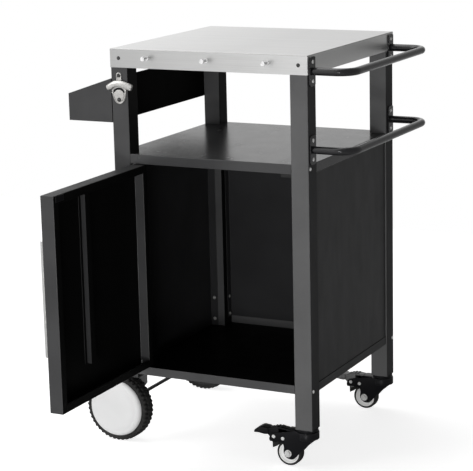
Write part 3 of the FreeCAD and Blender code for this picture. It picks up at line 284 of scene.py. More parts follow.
def facing_mask(tree, axis):
    """1 on faces that look along one object axis."""
    return spread(tree, coordinate(tree, "Normal", axis), FACES_FROM, FACES_FULLY, 0.0, 1.0)


def coat_black(level):
    return (level, level, level + BLUE_TRACE)


def powder_coat(
    name, colour, edge_colour, rough, shine, edge=0.0009, marks=0.05, ripple=0.00012,
    inner=None, shade_colour=PAINTED_SHADE_BLACK,
):
    """Colours are the coat's own and that of its rubbed edges; inner names the axis of the
    faces that get painted shade, or none.
    """
    material, tree, shader = start_material(name)
    normal, rubbed = edge_wear(tree, edge)
    peel, _ = grain(tree, *PEEL)
    _, cloud = grain(tree, *CLOUD)
    _, specks = grain(tree, *SPECKS)
    _, handling = grain(tree, *HANDLING)
    base = blend_colours(tree, cloud, colour, scaled(colour, CLOUD_LIFT))
    speckled = spread_mask(tree, specks, 0.0, SPECK_SHARE)
    base = blend_colours(tree, speckled, base, scaled(colour, SPECK_LIFT))
    worn = calculated(tree, "MULTIPLY", rubbed, spread(tree, handling, *PATCHES))
    base = blend_colours(tree, worn, base, edge_colour)
    # Painted shade: faces that look along the given axis take the shade colour.
    if inner is not None:
        base = blend_colours(tree, facing_mask(tree, inner), base, shade_colour)
    shader.inputs["Specular IOR Level"].default_value = shine
    roughness = spread_mask(tree, handling, rough - marks, rough + marks)
    fill(tree, shader, base, roughness, bump(tree, peel, ripple, normal))
    return material


print("powder coat recipe ready")

# %% [markdown]
# ## Powder coat, one per kind of piece
# All these pieces come off one spray line, yet they don't look the same: shelves are rolled
# sheet and take a smoother, shinier coat, bars and casters a glossier black. Some levels are
# painted light and shade: the left legs, the panels and the door's rib take darker copies of
# the coat, the right legs a lighter one, and the door's lighter rubbed edges are also a painted
# highlight. One material for all would be less work, but each kind gets its own values in the
# one recipe, so that it can be tuned alone. Sheets with painted shade on the faces that look
# one way name the axis along which they look.

# %% Coats, each with its colour, edge colour, roughness and shine
frame_coat = powder_coat("frame_powder_coat", coat_black(0.078), grey(0.16), 0.46, 0.08)
# Painted shade: the left legs take a darker copy of the frame coat.
left_leg_shaded_coat = powder_coat(
    "left_leg_shaded_coat", coat_black(0.062), grey(0.14), 0.46, 0.05, inner="X",
)
# Painted light: the right legs take a lighter copy, with a softer painted shade on their right
# faces.
right_leg_lit_coat = powder_coat(
    "right_leg_lit_coat", coat_black(0.1), grey(0.14), 0.46, 0.05, inner="X",
    shade_colour=coat_black(0.045),
)
# Painted shade: the panels take a darker copy of the frame coat.
panel_shaded_coat = powder_coat("panel_shaded_powder_coat", coat_black(0.022), grey(0.07), 0.42, 0.2)
shelf_coat = powder_coat(
    "shelf_powder_coat", coat_black(0.035), grey(0.12), 0.26, 0.5, marks=0.02, ripple=0.00003,
)
# Painted shade on the cabinet floor's upward faces.
floor_coat = powder_coat(
    "cabinet_floor_coat", coat_black(0.075), grey(0.16), 0.46, 0.05, inner="Z",
)
# The door's light edge colour is partly rubbed coat and partly a painted highlight along its
# folds.
door_coat = powder_coat(
    "door_powder_coat", coat_black(0.05), grey(0.3), 0.4, 0.05, edge=0.0014, inner="X",
)
# Painted shade: the rib inside the door takes a darker copy of the coat.
rib_shaded_coat = powder_coat("rib_shaded_powder_coat", coat_black(0.04), grey(0.07), 0.5, 0.05, inner="X")
tray_coat = powder_coat("tray_powder_coat", coat_black(0.06), grey(0.07), 0.46, 0.01, inner="X")
bar_coat = powder_coat("bar_gloss_coat", coat_black(0.006), grey(0.015), 0.19, 0.6, marks=0.03)
screw_coat = powder_coat(
    "blackened_screw", grey(0.02), (0.35, 0.35, 0.34), 0.32, 0.6, edge=0.0004,
)
caster_coat = powder_coat("caster_black_coat", coat_black(0.005), grey(0.06), 0.34, 0.22)
pedal_grey = powder_coat("rubbed_pedal_coat", grey(0.15), grey(0.3), 0.34, 0.5)
print("materials with the CAD's own", len(bpy.data.materials))

# %% [markdown]
# ## Brushed stainless steel
# The worktop is a folded sheet of stainless steel, ground along its length with a fine belt.
# The grinding could be an anisotropic shader, but a noise stretched far along X also shows
# the lines themselves when one comes close. They change tone, roughness and tilt a little. A
# slow cloud gives the wiped look of handled sheet. The rest is painted shade: the bends are
# darker, so that they show no bright line, and the apron darkens towards its left end and the
# top towards its right, where the reflections fall off.

# %% Brushed steel
# Painted shade on the worktop: its tone, its tone at the bends, where a bend starts and ends,
# and where it falls on the apron and the top.
STEEL_PAINTED_SHADE = grey(0.1)
BEND_PAINTED_SHADE = (0.36, 0.36, 0.355)
LEAVES_UPRIGHT = (0.04, 0.2)
REACHES_LEVEL = (0.9, 0.99)
APRON_PAINTED_SHADE = (-0.22, 0.22, 0.3, 0.0)
TOP_PAINTED_SHADE = (-0.2, 0.05, 0.0, 0.16)
LINE_DARK = 0.86
LINE_DEPTH = 0.00003
LINE_SHARE = 0.6
SMOOTHER = 0.06
ROUGHER = 0.1
COARSE_SHARE = 0.28
WIPED_SHARE = 0.35


def bend_mask(tree):
    """1 where the sheet is bent, so neither upright nor level."""
    level = coordinate(tree, "Normal", "Z")
    leaving = spread(tree, level, *LEAVES_UPRIGHT, 0.0, 1.0)
    reaching = spread(tree, level, *REACHES_LEVEL, 1.0, 0.0)
    return calculated(tree, "MULTIPLY", leaving, reaching)


def painted_shade_tone(tree, base):
    """Painted shade: darker along the bends, at the apron's left end and on the right of the
    top.
    """
    across = coordinate(tree, "Object", "X")
    apron = spread(tree, across, *APRON_PAINTED_SHADE)
    top = spread(tree, across, *TOP_PAINTED_SHADE)
    shade_share = blend_values(tree, facing_mask(tree, "Z"), apron, top)
    painted_falloff = blend_colours(tree, shade_share, base, STEEL_PAINTED_SHADE)
    return blend_colours(tree, bend_mask(tree), painted_falloff, BEND_PAINTED_SHADE)


def brushed_steel(name, colour, stretch, rough, edge, painted_falloff=False):
    material, tree, shader = start_material(name)
    normal, _ = edge_wear(tree, edge)
    lines, line_mask = grain(tree, 1.0, 3.0, roughness=0.55, stretch=stretch)
    _, coarse = grain(tree, 1.0, 2.0, stretch=tuple(value * COARSE_SHARE for value in stretch))
    _, cloud = grain(tree, 5.0, 3.0, 0.35, 0.7)
    dark = scaled(colour, LINE_DARK)
    base = blend_colours(tree, line_mask, dark, colour)
    base = blend_colours(tree, spread_mask(tree, cloud, 0.0, WIPED_SHARE), base, dark)
    if painted_falloff:
        base = painted_shade_tone(tree, base)
    shader.inputs["Metallic"].default_value = 1.0
    roughness = spread_mask(tree, coarse, rough - SMOOTHER, rough + ROUGHER)
    fill(tree, shader, base, roughness, bump(tree, lines, LINE_DEPTH, normal, LINE_SHARE))
    return material


top_steel = brushed_steel(
    "brushed_worktop", (0.8, 0.8, 0.795), (6.0, 1400.0, 1400.0), rough=0.36, edge=0.0003,
    painted_falloff=True,
)
pull_steel = brushed_steel(
    "brushed_pull", (0.78, 0.78, 0.77), (1500.0, 1500.0, 12.0), rough=0.28, edge=0.0008,
)
print("steels", top_steel.name, pull_steel.name)

# %% [markdown]
# ## Plated and cast metal
# The hooks and screws are plated: smooth, with fingerprint haze in their shine. The opener
# is cast, so its skin is pebbled and darker in the hollows. Plain shiny metal would make
# them look alike, so one function gives haze and pebbles, each finish in its own size. Bright
# plating has a low metal share, because a full mirror would show only the dim room, and the
# hooks' near-white colour is a painted reflection of a bright room.

# %% Plated and cast metal
METAL_EDGE = 0.0004
HOLLOW_DARK = 0.72
HAZE_SPAN = 0.14


def plated_metal(name, colour, rough, haze_size, pebble_size, pebble_depth, metal):
    material, tree, shader = start_material(name)
    normal, _ = edge_wear(tree, METAL_EDGE)
    _, haze = grain(tree, haze_size, 4.0, 0.35, 0.7, 0.6)
    skin, hollows = grain(tree, pebble_size, 2.0, 0.3, 0.6)
    base = blend_colours(tree, hollows, scaled(colour, HOLLOW_DARK), colour)
    shader.inputs["Metallic"].default_value = metal
    roughness = spread_mask(tree, haze, rough, rough + HAZE_SPAN)
    fill(tree, shader, base, roughness, bump(tree, skin, pebble_depth, normal))
    return material


# Painted reflection: near-white and mostly not metal, so the hooks look bright.
chrome = plated_metal("hook_chrome", grey(0.98), 0.2, 60.0, 300.0, 0.00001, 0.15)
nickel = plated_metal("cast_nickel", (0.68, 0.67, 0.65), 0.3, 90.0, 520.0, 0.00012, 1.0)
zinc = plated_metal("bright_zinc", (0.9, 0.9, 0.89), 0.3, 120.0, 800.0, 0.00003, 0.25)
dull_zinc = plated_metal("dull_zinc", (0.34, 0.34, 0.33), 0.38, 120.0, 800.0, 0.00003, 0.25)
print("plated metals", chrome.name, nickel.name, zinc.name, dull_zinc.name)

# %% [markdown]
# ## Rubber and moulded plastic
# Tyre rubber is dull and finely pitted, and dusty where it touches the ground: dust is a
# slow noise plus the worn edges, both in a lighter tone. The hub caps, caster wheels and
# plugs are moulded plastic, with a soft grain and the faint flow marks of the mould. Both
# could share one function, but rubber has dust and no flow, so two short ones are clearer.

# %% Rubber and moulded plastic
SOFT_EDGE = 0.0006
DUST = (34.0, 5.0, 0.45, 0.75, 0.65)
DUST_SHARE = 0.8
PIT_DEPTH = 0.0002
RUBBER_SHINE = 0.35
RUBBER_ROUGH = (0.62, 0.86)
MOULD_SKIN = (1100.0, 2.0)
FLOW = (14.0, 3.0)
FLOW_DARK = 0.93


def rubber(name, colour, dust, pit_size):
    material, tree, shader = start_material(name)
    normal, worn = edge_wear(tree, SOFT_EDGE)
    pits, pit_mask = grain(tree, pit_size, 3.0, roughness=0.6)
    _, dusting = grain(tree, *DUST)
    base = blend_colours(tree, spread_mask(tree, dusting, 0.0, DUST_SHARE), colour, dust)
    base = blend_colours(tree, worn, base, dust)
    shader.inputs["Specular IOR Level"].default_value = RUBBER_SHINE
    roughness = spread_mask(tree, pit_mask, *RUBBER_ROUGH)
    fill(tree, shader, base, roughness, bump(tree, pits, PIT_DEPTH, normal))
    return material


def moulded_plastic(name, colour, rough, depth=0.00005):
    material, tree, shader = start_material(name)
    normal, _ = edge_wear(tree, SOFT_EDGE)
    skin, _ = grain(tree, *MOULD_SKIN)
    _, flow = grain(tree, *FLOW)
    base = blend_colours(tree, flow, scaled(colour, FLOW_DARK), colour)
    roughness = spread_mask(tree, flow, rough - 0.04, rough + 0.06)
    fill(tree, shader, base, roughness, bump(tree, skin, depth, normal))
    return material


tyre_rubber = rubber("tyre_rubber", grey(0.016), (0.05, 0.049, 0.047), 900.0)
shoe_rubber = rubber("brake_rubber", grey(0.012), grey(0.03), 1300.0)
cap_grey = moulded_plastic("hub_cap_grey", grey(0.79), 0.42)
caster_white = moulded_plastic("caster_white", (0.9, 0.9, 0.89), 0.34)
black_plastic = moulded_plastic("moulded_black", grey(0.02), 0.5, 0.0001)
print("materials in all", len(bpy.data.materials))

# %% [markdown]
# ## Dress the nodes
# Each node of the frame is one piece of the cart and has one finish. The materials could be
# set one by one, but a table reads like a paint list: a finish and the pieces that get it.
# The name's ending counts, so both wheels and both casters share a row. A node keeps its CAD
# mesh; only what fills its material slots changes.

# %% Give the nodes their materials
DRESS = (
    (top_steel, "worktop"),
    (pull_steel, "door_pull"),
    (chrome, "tool_hooks"),
    (nickel, "bottle_opener"),
    (zinc, "shelf_screws tray_screws towel_bar_screws door_pull_screws hinge_pins"),
    (zinc, "axle_washers axle_retainers caster_stems caster_axle_bolt caster_rivets"),
    (dull_zinc, "panel_screws"),
    (screw_coat, "apron_screws opener_screws"),
    (left_leg_shaded_coat, "leg_front_left leg_rear_left"),
    (right_leg_lit_coat, "leg_front_right leg_rear_right"),
    (frame_coat, "axle axle_brackets hinge_brackets"),
    (panel_shaded_coat, "side_panel_left side_panel_right back_panel"),
    (shelf_coat, "middle_shelf"),
    (floor_coat, "bottom_shelf"),
    (door_coat, "door_shell"),
    (rib_shaded_coat, "door_stiffener"),
    (tray_coat, "side_tray"),
    (bar_coat, "towel_bar_upper towel_bar_lower towel_bar_plates"),
    (caster_coat, "caster_races caster_fork caster_pedal catch_strike"),
    (black_plastic, "leg_end_caps magnet_catch caster_sockets hinge_bushes wheel_rim"),
    (cap_grey, "wheel_hub_cap"),
    (caster_white, "caster_wheel"),
    (tyre_rubber, "wheel_tyre caster_tyre"),
    (shoe_rubber, "caster_brake_shoe"),
)


def material_for(name):
    return next(finish for finish, endings in DRESS if name.endswith(tuple(endings.split())))


for name, node in nodes.items():
    node.data.materials.clear()
    node.data.materials.append(material_for(name))
print("dressed", len(nodes))

# %% [markdown]
# ## Tools for shaped pieces
# Pressed, turned and cast pieces have soft outlines that the plain solids leave out. They
# could be built with modifiers on simple bodies, but loops of points give the exact outline
# and a clean mesh. The points are in the cart's own millimetres (X from the worktop's left
# edge, Y from its front face, Z from the floor), and one function moves them into the frame.
# All is made by a loft: faces between loops that have the same number of points.

# %% Place and loft
LEFT_EDGE = -0.2236
FRONT_FACE = -0.0535
MILLI = 0.001


def in_frame(spot):
    return Vector((spot[0] * MILLI + LEFT_EDGE, spot[1] * MILLI + FRONT_FACE, spot[2] * MILLI))


def loft(rings, cyclic=False):
    """Faces between loops in millimetres; its ends are capped, or joined if it is cyclic."""
    mesh = bmesh.new()
    rows = [[mesh.verts.new(in_frame(spot)) for spot in ring] for ring in rings]
    count = len(rows[0])
    pairs = list(zip(rows, rows[1:]))
    if cyclic:
        pairs.append((rows[-1], rows[0]))
    for first, second in pairs:
        for index in range(count):
            after = (index + 1) % count
            mesh.faces.new((first[index], first[after], second[after], second[index]))
    if not cyclic:
        mesh.faces.new(list(reversed(rows[0])))
        mesh.faces.new(rows[-1])
    return mesh


def joined(meshes):
    whole = bmesh.new()
    for part in meshes:
        data = bpy.data.meshes.new("part")
        part.to_mesh(data)
        part.free()
        whole.from_mesh(data)
        bpy.data.meshes.remove(data)
    return whole


print("left front corner of the worktop", [round(value, 4) for value in in_frame((0, 0, 0))])

# %% [markdown]
# ## From a mesh to a piece
# Every mesh ends the same way: doubled points are merged, the faces turned outwards, and all
# is shaded smooth except at real creases, so that a rolled rim looks round and a cut edge
# stays sharp. Then it gets its material, body and slot, and the CAD nodes that it replaces.

# %% Make a piece
MERGE = 1e-6
CREASE = 38.0


def piece(name, mesh, material, body, stands_for=(), crease=CREASE):
    bmesh.ops.remove_doubles(mesh, verts=mesh.verts, dist=MERGE)
    bmesh.ops.recalc_face_normals(mesh, faces=mesh.faces)
    for face in mesh.faces:
        face.smooth = True
    for edge in mesh.edges:
        if len(edge.link_faces) == 2 and edge.calc_face_angle(0.0) > math.radians(crease):
            edge.smooth = False
    data = bpy.data.meshes.new(name)
    mesh.to_mesh(data)
    mesh.free()
    data.materials.append(material)
    made = bpy.data.objects.new(name, data)
    bpy.context.scene.collection.objects.link(made)
    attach(made, body)
    if stands_for:
        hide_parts(*stands_for)
    print(name, "faces", len(data.polygons))


# %% [markdown]
# ## Outlines, slabs and turned shapes
# Three shapes are enough for this cart. An outline with softened corners is what a press
# tool cuts. A slab is that outline with thickness and rounded rims: each loop is the outline
# drawn inwards a little more, along a quarter circle. A turned shape is a section carried
# round an axis, as on a lathe, and may change its radius on the way, which makes tyre lugs.

# %% Outlines and slabs
CORNER_SHARE = 0.48
RIM_STEPS = 3


def softened(points, reach, steps=4):
    """A closed outline with each corner turned into a small curve."""
    result = []
    count = len(points)
    for index in range(count):
        here = Vector(points[index])
        before = Vector(points[index - 1])
        after = Vector(points[(index + 1) % count])
        first = here + (before - here) * min(CORNER_SHARE, reach / (before - here).length)
        last = here + (after - here) * min(CORNER_SHARE, reach / (after - here).length)
        for step in range(steps + 1):
            t = step / steps
            result.append(first * (1 - t) ** 2 + here * 2 * t * (1 - t) + last * t * t)
    return result


def inset(points, amount):
    """The outline moved inwards; points run either way round."""
    count = len(points)
    pairs = zip(points[-1:] + points[:-1], points)
    side = 1.0 if sum(a.x * b.y - b.x * a.y for a, b in pairs) > 0 else -1.0
    result = []
    for index in range(count):
        along = (points[(index + 1) % count] - points[index - 1]).normalized()
        result.append(points[index] + Vector((-along.y, along.x)) * amount * side)
    return result


def layered(outline, levels, place):
    """A loft of the outline, at each depth drawn inwards by its own amount."""
    return loft([
        [place(spot.x, spot.y, depth) for spot in inset(outline, amount)]
        for depth, amount in levels
    ])


def upright(x, z, depth):
    return (x, depth, z)


def slab(outline, low, high, rim, steps=RIM_STEPS, low_rim=True, place=upright):
    """A plate between two depths, its rims rounded. The outline is in X and Z."""
    turns = [math.pi / 2 * step / steps for step in range(steps + 1)]
    levels = [(low, 0.0)]
    if low_rim:
        levels = [(low + rim * (1 - math.cos(t)), rim * (1 - math.sin(t))) for t in turns]
    levels += [(high - rim * (1 - math.sin(t)), rim * (1 - math.cos(t))) for t in turns]
    return layered(outline, levels, place)


print("outline tools ready")

# %% Turned shapes and smooth lines


def turned(section, centre, axis, steps, shape=None):
    """A closed section of radius and height, turned round an axis."""
    axis = Vector(axis)
    across = axis.orthogonal().normalized()
    other = axis.cross(across)
    rings = []
    for index in range(steps):
        angle = math.tau * index / steps
        out = across * math.cos(angle) + other * math.sin(angle)
        ring = []
        for number, (radius, height) in enumerate(section):
            reach = shape(number, index, radius) if shape else radius
            ring.append(Vector(centre) + axis * height + out * reach)
        rings.append(ring)
    return loft(rings, cyclic=True)


def both_faces(half):
    """A section that is alike on both sides of its middle, from one half of it."""
    return half + [(radius, -height) for radius, height in reversed(half)]


def curve_through(points, per_span):
    """Points on a smooth line through the given ones."""
    result = []
    last = len(points) - 1
    for index in range(last):
        a, b, c, d = [Vector(points[max(0, min(last, index + k))]) for k in (-1, 0, 1, 2)]
        for step in range(per_span):
            t = step / per_span
            result.append(0.5 * (
                2 * b + (c - a) * t + (2 * a - 5 * b + 4 * c - d) * t * t
                + (3 * b - a - 3 * c + d) * t ** 3
            ))
    result.append(Vector(points[last]))
    return result


print("turning tools ready")

# %% [markdown]
# ## Large wheels
# The two wheels on the left are solid rubber bands on a plastic rim, with a pale cap in the
# outer face. The tread has two rows of lugs, staggered by half a lug, beside a plain middle
# band, and the sidewall has two rings. Lugs could be a bump, but they show in the wheel's
# outline, so they are cut into the turned section: at each step round the wheel a lug row is
# lower or not. The cap is a shallow dish with a rolled edge and one fine ring in its face.

# %% Large wheels
WHEEL_X = -23.0
WHEEL_Z = 76.2
WHEEL_WIDE = 36.0
CART_DEPTH = 462.3
WHEEL_INSET = 9.5
LUGS = 44
LUG_CUTS = (3.4, 2.3, 0.0, 0.0, 0.0, 2.3)
CAP_STEPS = 128
# Radius, height and whether the point belongs to a lug.
TREAD_HALF = [
    (64.3, 0.4, 0), (65.4, 0.0, 0), (66.0, 0.0, 0), (66.5, 0.7, 0), (67.9, 0.7, 0),
    (68.4, 0.0, 0), (70.2, 0.3, 0), (70.7, 0.9, 0), (71.6, 0.9, 0), (72.1, 0.6, 0),
    (73.6, 1.2, 1), (75.3, 2.6, 1), (76.1, 5.0, 1), (76.2, 9.0, 1), (76.2, 12.6, 1),
    (76.1, 13.4, 0), (76.2, 15.0, 0),
]
CAP_SECTION = [
    (0.0, -8.0), (20.0, -7.98), (40.0, -7.85), (51.2, -7.55), (52.0, -7.2), (52.8, -7.45),
    (55.5, -7.1), (58.0, -6.5), (60.0, -5.5), (61.6, -4.2), (62.8, -2.6), (63.6, -1.0),
    (63.9, 0.5), (62.2, 0.5), (61.9, -0.6), (60.2, -3.4), (57.0, -5.0), (50.0, -5.8),
    (0.0, -6.1),
]


def lugged_tyre_mesh(centre, axis):
    parts = len(LUG_CUTS)
    near = TREAD_HALF
    far = [(radius, WHEEL_WIDE - height, 2 * lug) for radius, height, lug in reversed(near)]
    section = near + far

    def with_lugs(number, index, radius):
        row = section[number][2]
        if not row:
            return radius
        stagger = parts // 2 if row == 2 else 0
        return radius - LUG_CUTS[(index + stagger) % parts]

    line = [(radius, height) for radius, height, row in section]
    return turned(line, centre, axis, LUGS * parts, with_lugs)


for body, face, axis in (
    ("front_wheel", WHEEL_INSET, (0, 1, 0)),
    ("rear_wheel", CART_DEPTH - WHEEL_INSET, (0, -1, 0)),
):
    centre = (WHEEL_X, face, WHEEL_Z)
    piece(body + "_lugged_tyre", lugged_tyre_mesh(centre, axis), tyre_rubber, body,
          [body + "_tyre"], 32.0)
    piece(body + "_dished_cap", turned(CAP_SECTION, centre, axis, CAP_STEPS), cap_grey, body,
          [body + "_hub_cap"], 50.0)

# %% [markdown]
# ## Caster forks
# The two legs on the right stand on casters that trail to the left. The fork is pressed from
# one sheet: two cheeks with soft outlines, a bridge between them, a round crown over the
# bearing, and a rim rolled down round the crown's right side. One block with cuts would look
# machined, so it is put together from slabs, a turned crown and a lofted skirt, each with
# the sheet's own thickness and rounded rims.

# %% Caster forks
SWIVEL_X = 438.7
SWIVELS = {"front": 21.0, "rear": 441.3}
CHEEK = [
    (21.0, 78.2), (21.0, 64.5), (14.0, 58.0), (-2.7, 44.0), (-26.7, 17.0), (-33.7, 15.0),
    (-43.0, 17.0), (-49.5, 23.0), (-51.5, 31.0), (-49.7, 42.0), (-52.7, 50.0), (-68.0, 52.0),
    (-83.7, 50.0), (-85.0, 58.0), (-80.7, 67.0), (-66.0, 71.5), (-44.0, 75.0), (-25.0, 78.2),
]
CHEEK_INNER = 12.0
CHEEK_OUTER = 14.0
CROWN = [
    (5.1, 78.0), (23.8, 78.0), (24.6, 78.2), (25.0, 79.0), (24.8, 79.9), (24.0, 80.4),
    (20.6, 80.5), (20.0, 80.8), (19.9, 81.8), (19.3, 82.1), (5.1, 82.1),
]
BRIDGE = [(-44.0, -14.0), (0.0, -14.0), (0.0, 14.0), (-44.0, 14.0)]
BRIDGE_LOW = 78.0
BRIDGE_HIGH = 80.4
SKIRT = [
    (23.0, 65.1), (23.5, 64.5), (24.4, 64.5), (25.0, 65.2), (25.0, 77.6), (24.6, 78.2),
    (23.0, 78.2),
]
SKIRT_TURN = math.acos(-8.0 / 25.0)
SKIRT_STEPS = 40


def on_caster(y):
    return lambda x, z, depth: (SWIVEL_X + x, y + depth, z)


def level_on_caster(y):
    return lambda x, across, height: (SWIVEL_X + x, y + across, height)


def cheek_pair(outline, inner, outer, rim, y):
    place = on_caster(y)
    return [
        slab(outline, inner, outer, rim, place=place),
        slab(outline, -outer, -inner, rim, place=place),
    ]


def skirt_mesh(y):
    """The crown's rolled rim, round its right-hand side only."""
    rings = []
    for step in range(SKIRT_STEPS + 1):
        angle = -SKIRT_TURN + 2.0 * SKIRT_TURN * step / SKIRT_STEPS
        out = (math.cos(angle), math.sin(angle))
        rings.append([
            (SWIVEL_X + radius * out[0], y + radius * out[1], height)
            for radius, height in SKIRT
        ])
    return loft(rings)


def fork_mesh(y):
    parts = cheek_pair(softened(CHEEK, 4.0), CHEEK_INNER, CHEEK_OUTER, 0.7, y)
    parts.append(turned(CROWN, (SWIVEL_X, y, 0.0), (0, 0, 1), 72))
    bridge = softened(BRIDGE, 4.0)
    parts.append(slab(bridge, BRIDGE_LOW, BRIDGE_HIGH, 0.9, place=level_on_caster(y)))
    parts.append(skirt_mesh(y))
    return joined(parts)


print("cheek outline points", len(CHEEK), "skirt degrees", round(math.degrees(2 * SKIRT_TURN)))

# %% [markdown]
# ## Brake pedals
# A brake pedal is a bent tread plate on two ears. Its toe is wide, with a round tip that is
# turned down, its middle dips, and its heel is flat and slimmer, to pass between the fork's
# cheeks. A box bent by a modifier would keep one width, so a profile is carried along a
# smooth line instead, and its half width changes on the way. The webs and ears are slabs.

# %% Brake pedals
PEDAL_LINE = [
    (-122.0, 68.5), (-118.5, 72.0), (-114.0, 75.5), (-105.7, 79.3), (-95.0, 78.6),
    (-84.0, 77.7), (-77.0, 79.8), (-70.0, 81.6), (-62.0, 82.1), (-56.0, 82.0), (-44.7, 80.5),
]
PEDAL_STEPS = 18
# Share of the half width, and height over the line, once round the plate.
PEDAL_PROFILE = (
    (-1.0, -0.6), (-1.0, -2.4), (-0.96, -3.0), (0.96, -3.0), (1.0, -2.4), (1.0, -0.6),
    (0.97, -0.15), (0.93, 0.0), (0.4, 0.1), (-0.4, 0.1), (-0.93, 0.0), (-0.97, -0.15),
)
TOE_X = -122.0
TOE_HALF = 14.0
TOE_ROUND = 4.5
WAIST_X = -91.5
WAIST_HALF = 10.5
TAPER = 6.0
WEB = [
    (-121.5, 66.5), (-114.0, 73.5), (-105.7, 77.5), (-95.0, 76.5), (-87.5, 75.8),
    (-87.5, 65.5), (-93.0, 64.5), (-101.0, 65.0), (-109.0, 66.5), (-117.0, 66.0),
]
EAR = [
    (-91.5, 75.5), (-91.5, 66.0), (-86.5, 61.5), (-83.0, 58.0), (-79.0, 48.0),
    (-69.0, 48.0), (-64.0, 58.0), (-64.0, 80.0), (-70.0, 80.0), (-82.0, 76.5),
]
EAR_INNER = 8.5
EAR_OUTER = 10.5
pedal_curve = curve_through(PEDAL_LINE, PEDAL_STEPS)


def pedal_half_width(x):
    toe = min(1.0, max(0.0, (x - TOE_X) / TAPER))
    waist = min(1.0, max(0.0, (x - WAIST_X) / TAPER))
    waist = waist * waist * (3 - 2 * waist)
    full = TOE_HALF - TOE_ROUND * (1 - math.sqrt(1 - (1 - toe) ** 2))
    return full * (1 - waist) + WAIST_HALF * waist


def pedal_mesh(y):
    rings = []
    last = len(pedal_curve) - 1
    for index, spot in enumerate(pedal_curve):
        ahead = pedal_curve[min(index + 1, last)] - pedal_curve[max(index - 1, 0)]
        along = ahead.normalized()
        up = Vector((-along.y, along.x))
        half = pedal_half_width(spot.x)
        ring = []
        for share, height in PEDAL_PROFILE:
            place = spot + up * height
            ring.append((SWIVEL_X + place.x, y + share * half, place.y))
        rings.append(ring)
    parts = [loft(rings)]
    parts += cheek_pair(softened(WEB, 3.0), CHEEK_INNER, CHEEK_OUTER, 0.6, y)
    parts += cheek_pair(softened(EAR, 3.0), EAR_INNER, EAR_OUTER, 0.6, y)
    return joined(parts)


print("pedal half width, toe to heel", [pedal_half_width(x) for x in (TOE_X, -110.0, -60.0)])

# %% [markdown]
# ## Pedal treads
# On the heel lies a raised bed with four cross ridges, where a shoe presses. The rear
# pedal's ridges are rubbed to grey metal, the front one's are still black. A bump would give
# neither their shadows nor a coat of their own, so each ridge is a small bar with rounded
# shoulders, set square to the pedal's slope. The bed is six wide, low bars that overlap.

# %% Pedal treads
# First bar, pitch and number, then a bar's width, foot, top, half length and rim.
RIDGES = (-84.0, 7.4, 4, 3.6, -0.3, 1.5, 9.6, 0.9)
BED = (-85.5, 5.0, 6, 5.1, -0.4, 0.22, 10.2, 0.1)
SHOULDER = 0.3
# Share of the bar's half length, and how far its top has come down there.
BAR_ENDS = ((-1.0, 0.6), (-0.97, 0.15), (-0.92, 0.0), (0.92, 0.0), (0.97, 0.15), (1.0, 0.6))


def pedal_top(x):
    """A point of the pedal's top line and the line's direction there."""
    index = next(i for i in range(1, len(pedal_curve)) if pedal_curve[i].x >= x)
    first, last = pedal_curve[index - 1], pedal_curve[index]
    share = (x - first.x) / (last.x - first.x)
    return first.lerp(last, share), (last - first).normalized()


def tread_bar(y, start, wide, low, high, half, rim):
    """A bar across the pedal with rounded upper edges, following the pedal's slope."""
    reach = 0.5 * wide
    middle, along = pedal_top(start + reach)
    up = Vector((-along.y, along.x))
    shoulder = rim * SHOULDER
    left = [
        (-reach, low), (-reach, high - rim), (-reach + shoulder, high - shoulder),
        (-reach + rim, high),
    ]
    section = left + [(-offset, height) for offset, height in reversed(left)]
    rings = []
    for share, drop in BAR_ENDS:
        ring = []
        for offset, height in section:
            lowered = height - (drop if height > low else 0.0)
            spot = middle + along * offset + up * lowered
            ring.append((SWIVEL_X + spot.x, y + share * half, spot.y))
        rings.append(ring)
    return loft(rings)


def tread_mesh(y, first, pitch, count, *bar):
    return joined([tread_bar(y, first + index * pitch, *bar) for index in range(count)])


print("pedal line and slope at the first ridge", pedal_top(RIDGES[0]))

# %% [markdown]
# ## Caster wheels, and the casters put together
# The caster wheel is a white moulded disc: a boss round the axle, a dished web and a raised
# rim that holds a round black tyre. A disc with a flat face would look like a coin, so the
# true section is turned, half of it drawn and the other half its mirror image. Then one loop
# makes all pieces of both casters: the fork rides on the swivel, the pedal and its tread on
# the brake, wheel and tyre on the roller.

# %% Caster wheels and all caster pieces
CASTER_SPOT = (SWIVEL_X - 40.2, 28.2)
CASTER_STEPS = 96
DISC_HALF = [
    (4.05, 11.5), (8.6, 11.5), (9.4, 11.0), (9.9, 8.4), (10.8, 7.5), (12.0, 7.4),
    (17.8, 7.6), (19.2, 8.2), (19.9, 9.5), (20.6, 10.0), (22.6, 10.0), (23.1, 9.6),
]
ROUND_TYRE_HALF = [
    (23.2, 9.8), (24.0, 10.0), (25.6, 10.0), (26.6, 9.7), (27.4, 9.0), (27.9, 8.0),
    (28.15, 6.4), (28.2, 3.0), (28.2, 0.5),
]


def rolling_mesh(half, y):
    centre = (CASTER_SPOT[0], y, CASTER_SPOT[1])
    return turned(both_faces(half), centre, (0, 1, 0), CASTER_STEPS)


pedal_coats = {"front": caster_coat, "rear": pedal_grey}
for side, y in SWIVELS.items():
    caster = side + "_caster"
    brake = caster + "_brake"
    roller = caster + "_roller"
    tread = pedal_coats[side]
    piece(caster + "_pressed_fork", fork_mesh(y), caster_coat, caster + "_swivel",
          [caster + "_fork"])
    piece(caster + "_bent_pedal", pedal_mesh(y), tread, brake,
          [caster + "_pedal"])
    piece(caster + "_tread_bed", tread_mesh(y, *BED), caster_coat, brake)
    piece(caster + "_tread_ridges", tread_mesh(y, *RIDGES), tread, brake)
    piece(caster + "_dished_wheel", rolling_mesh(DISC_HALF, y), caster_white, roller,
          [caster + "_wheel"])
    piece(caster + "_round_tyre", rolling_mesh(ROUND_TYRE_HALF, y), tyre_rubber, roller,
          [caster + "_tyre"])

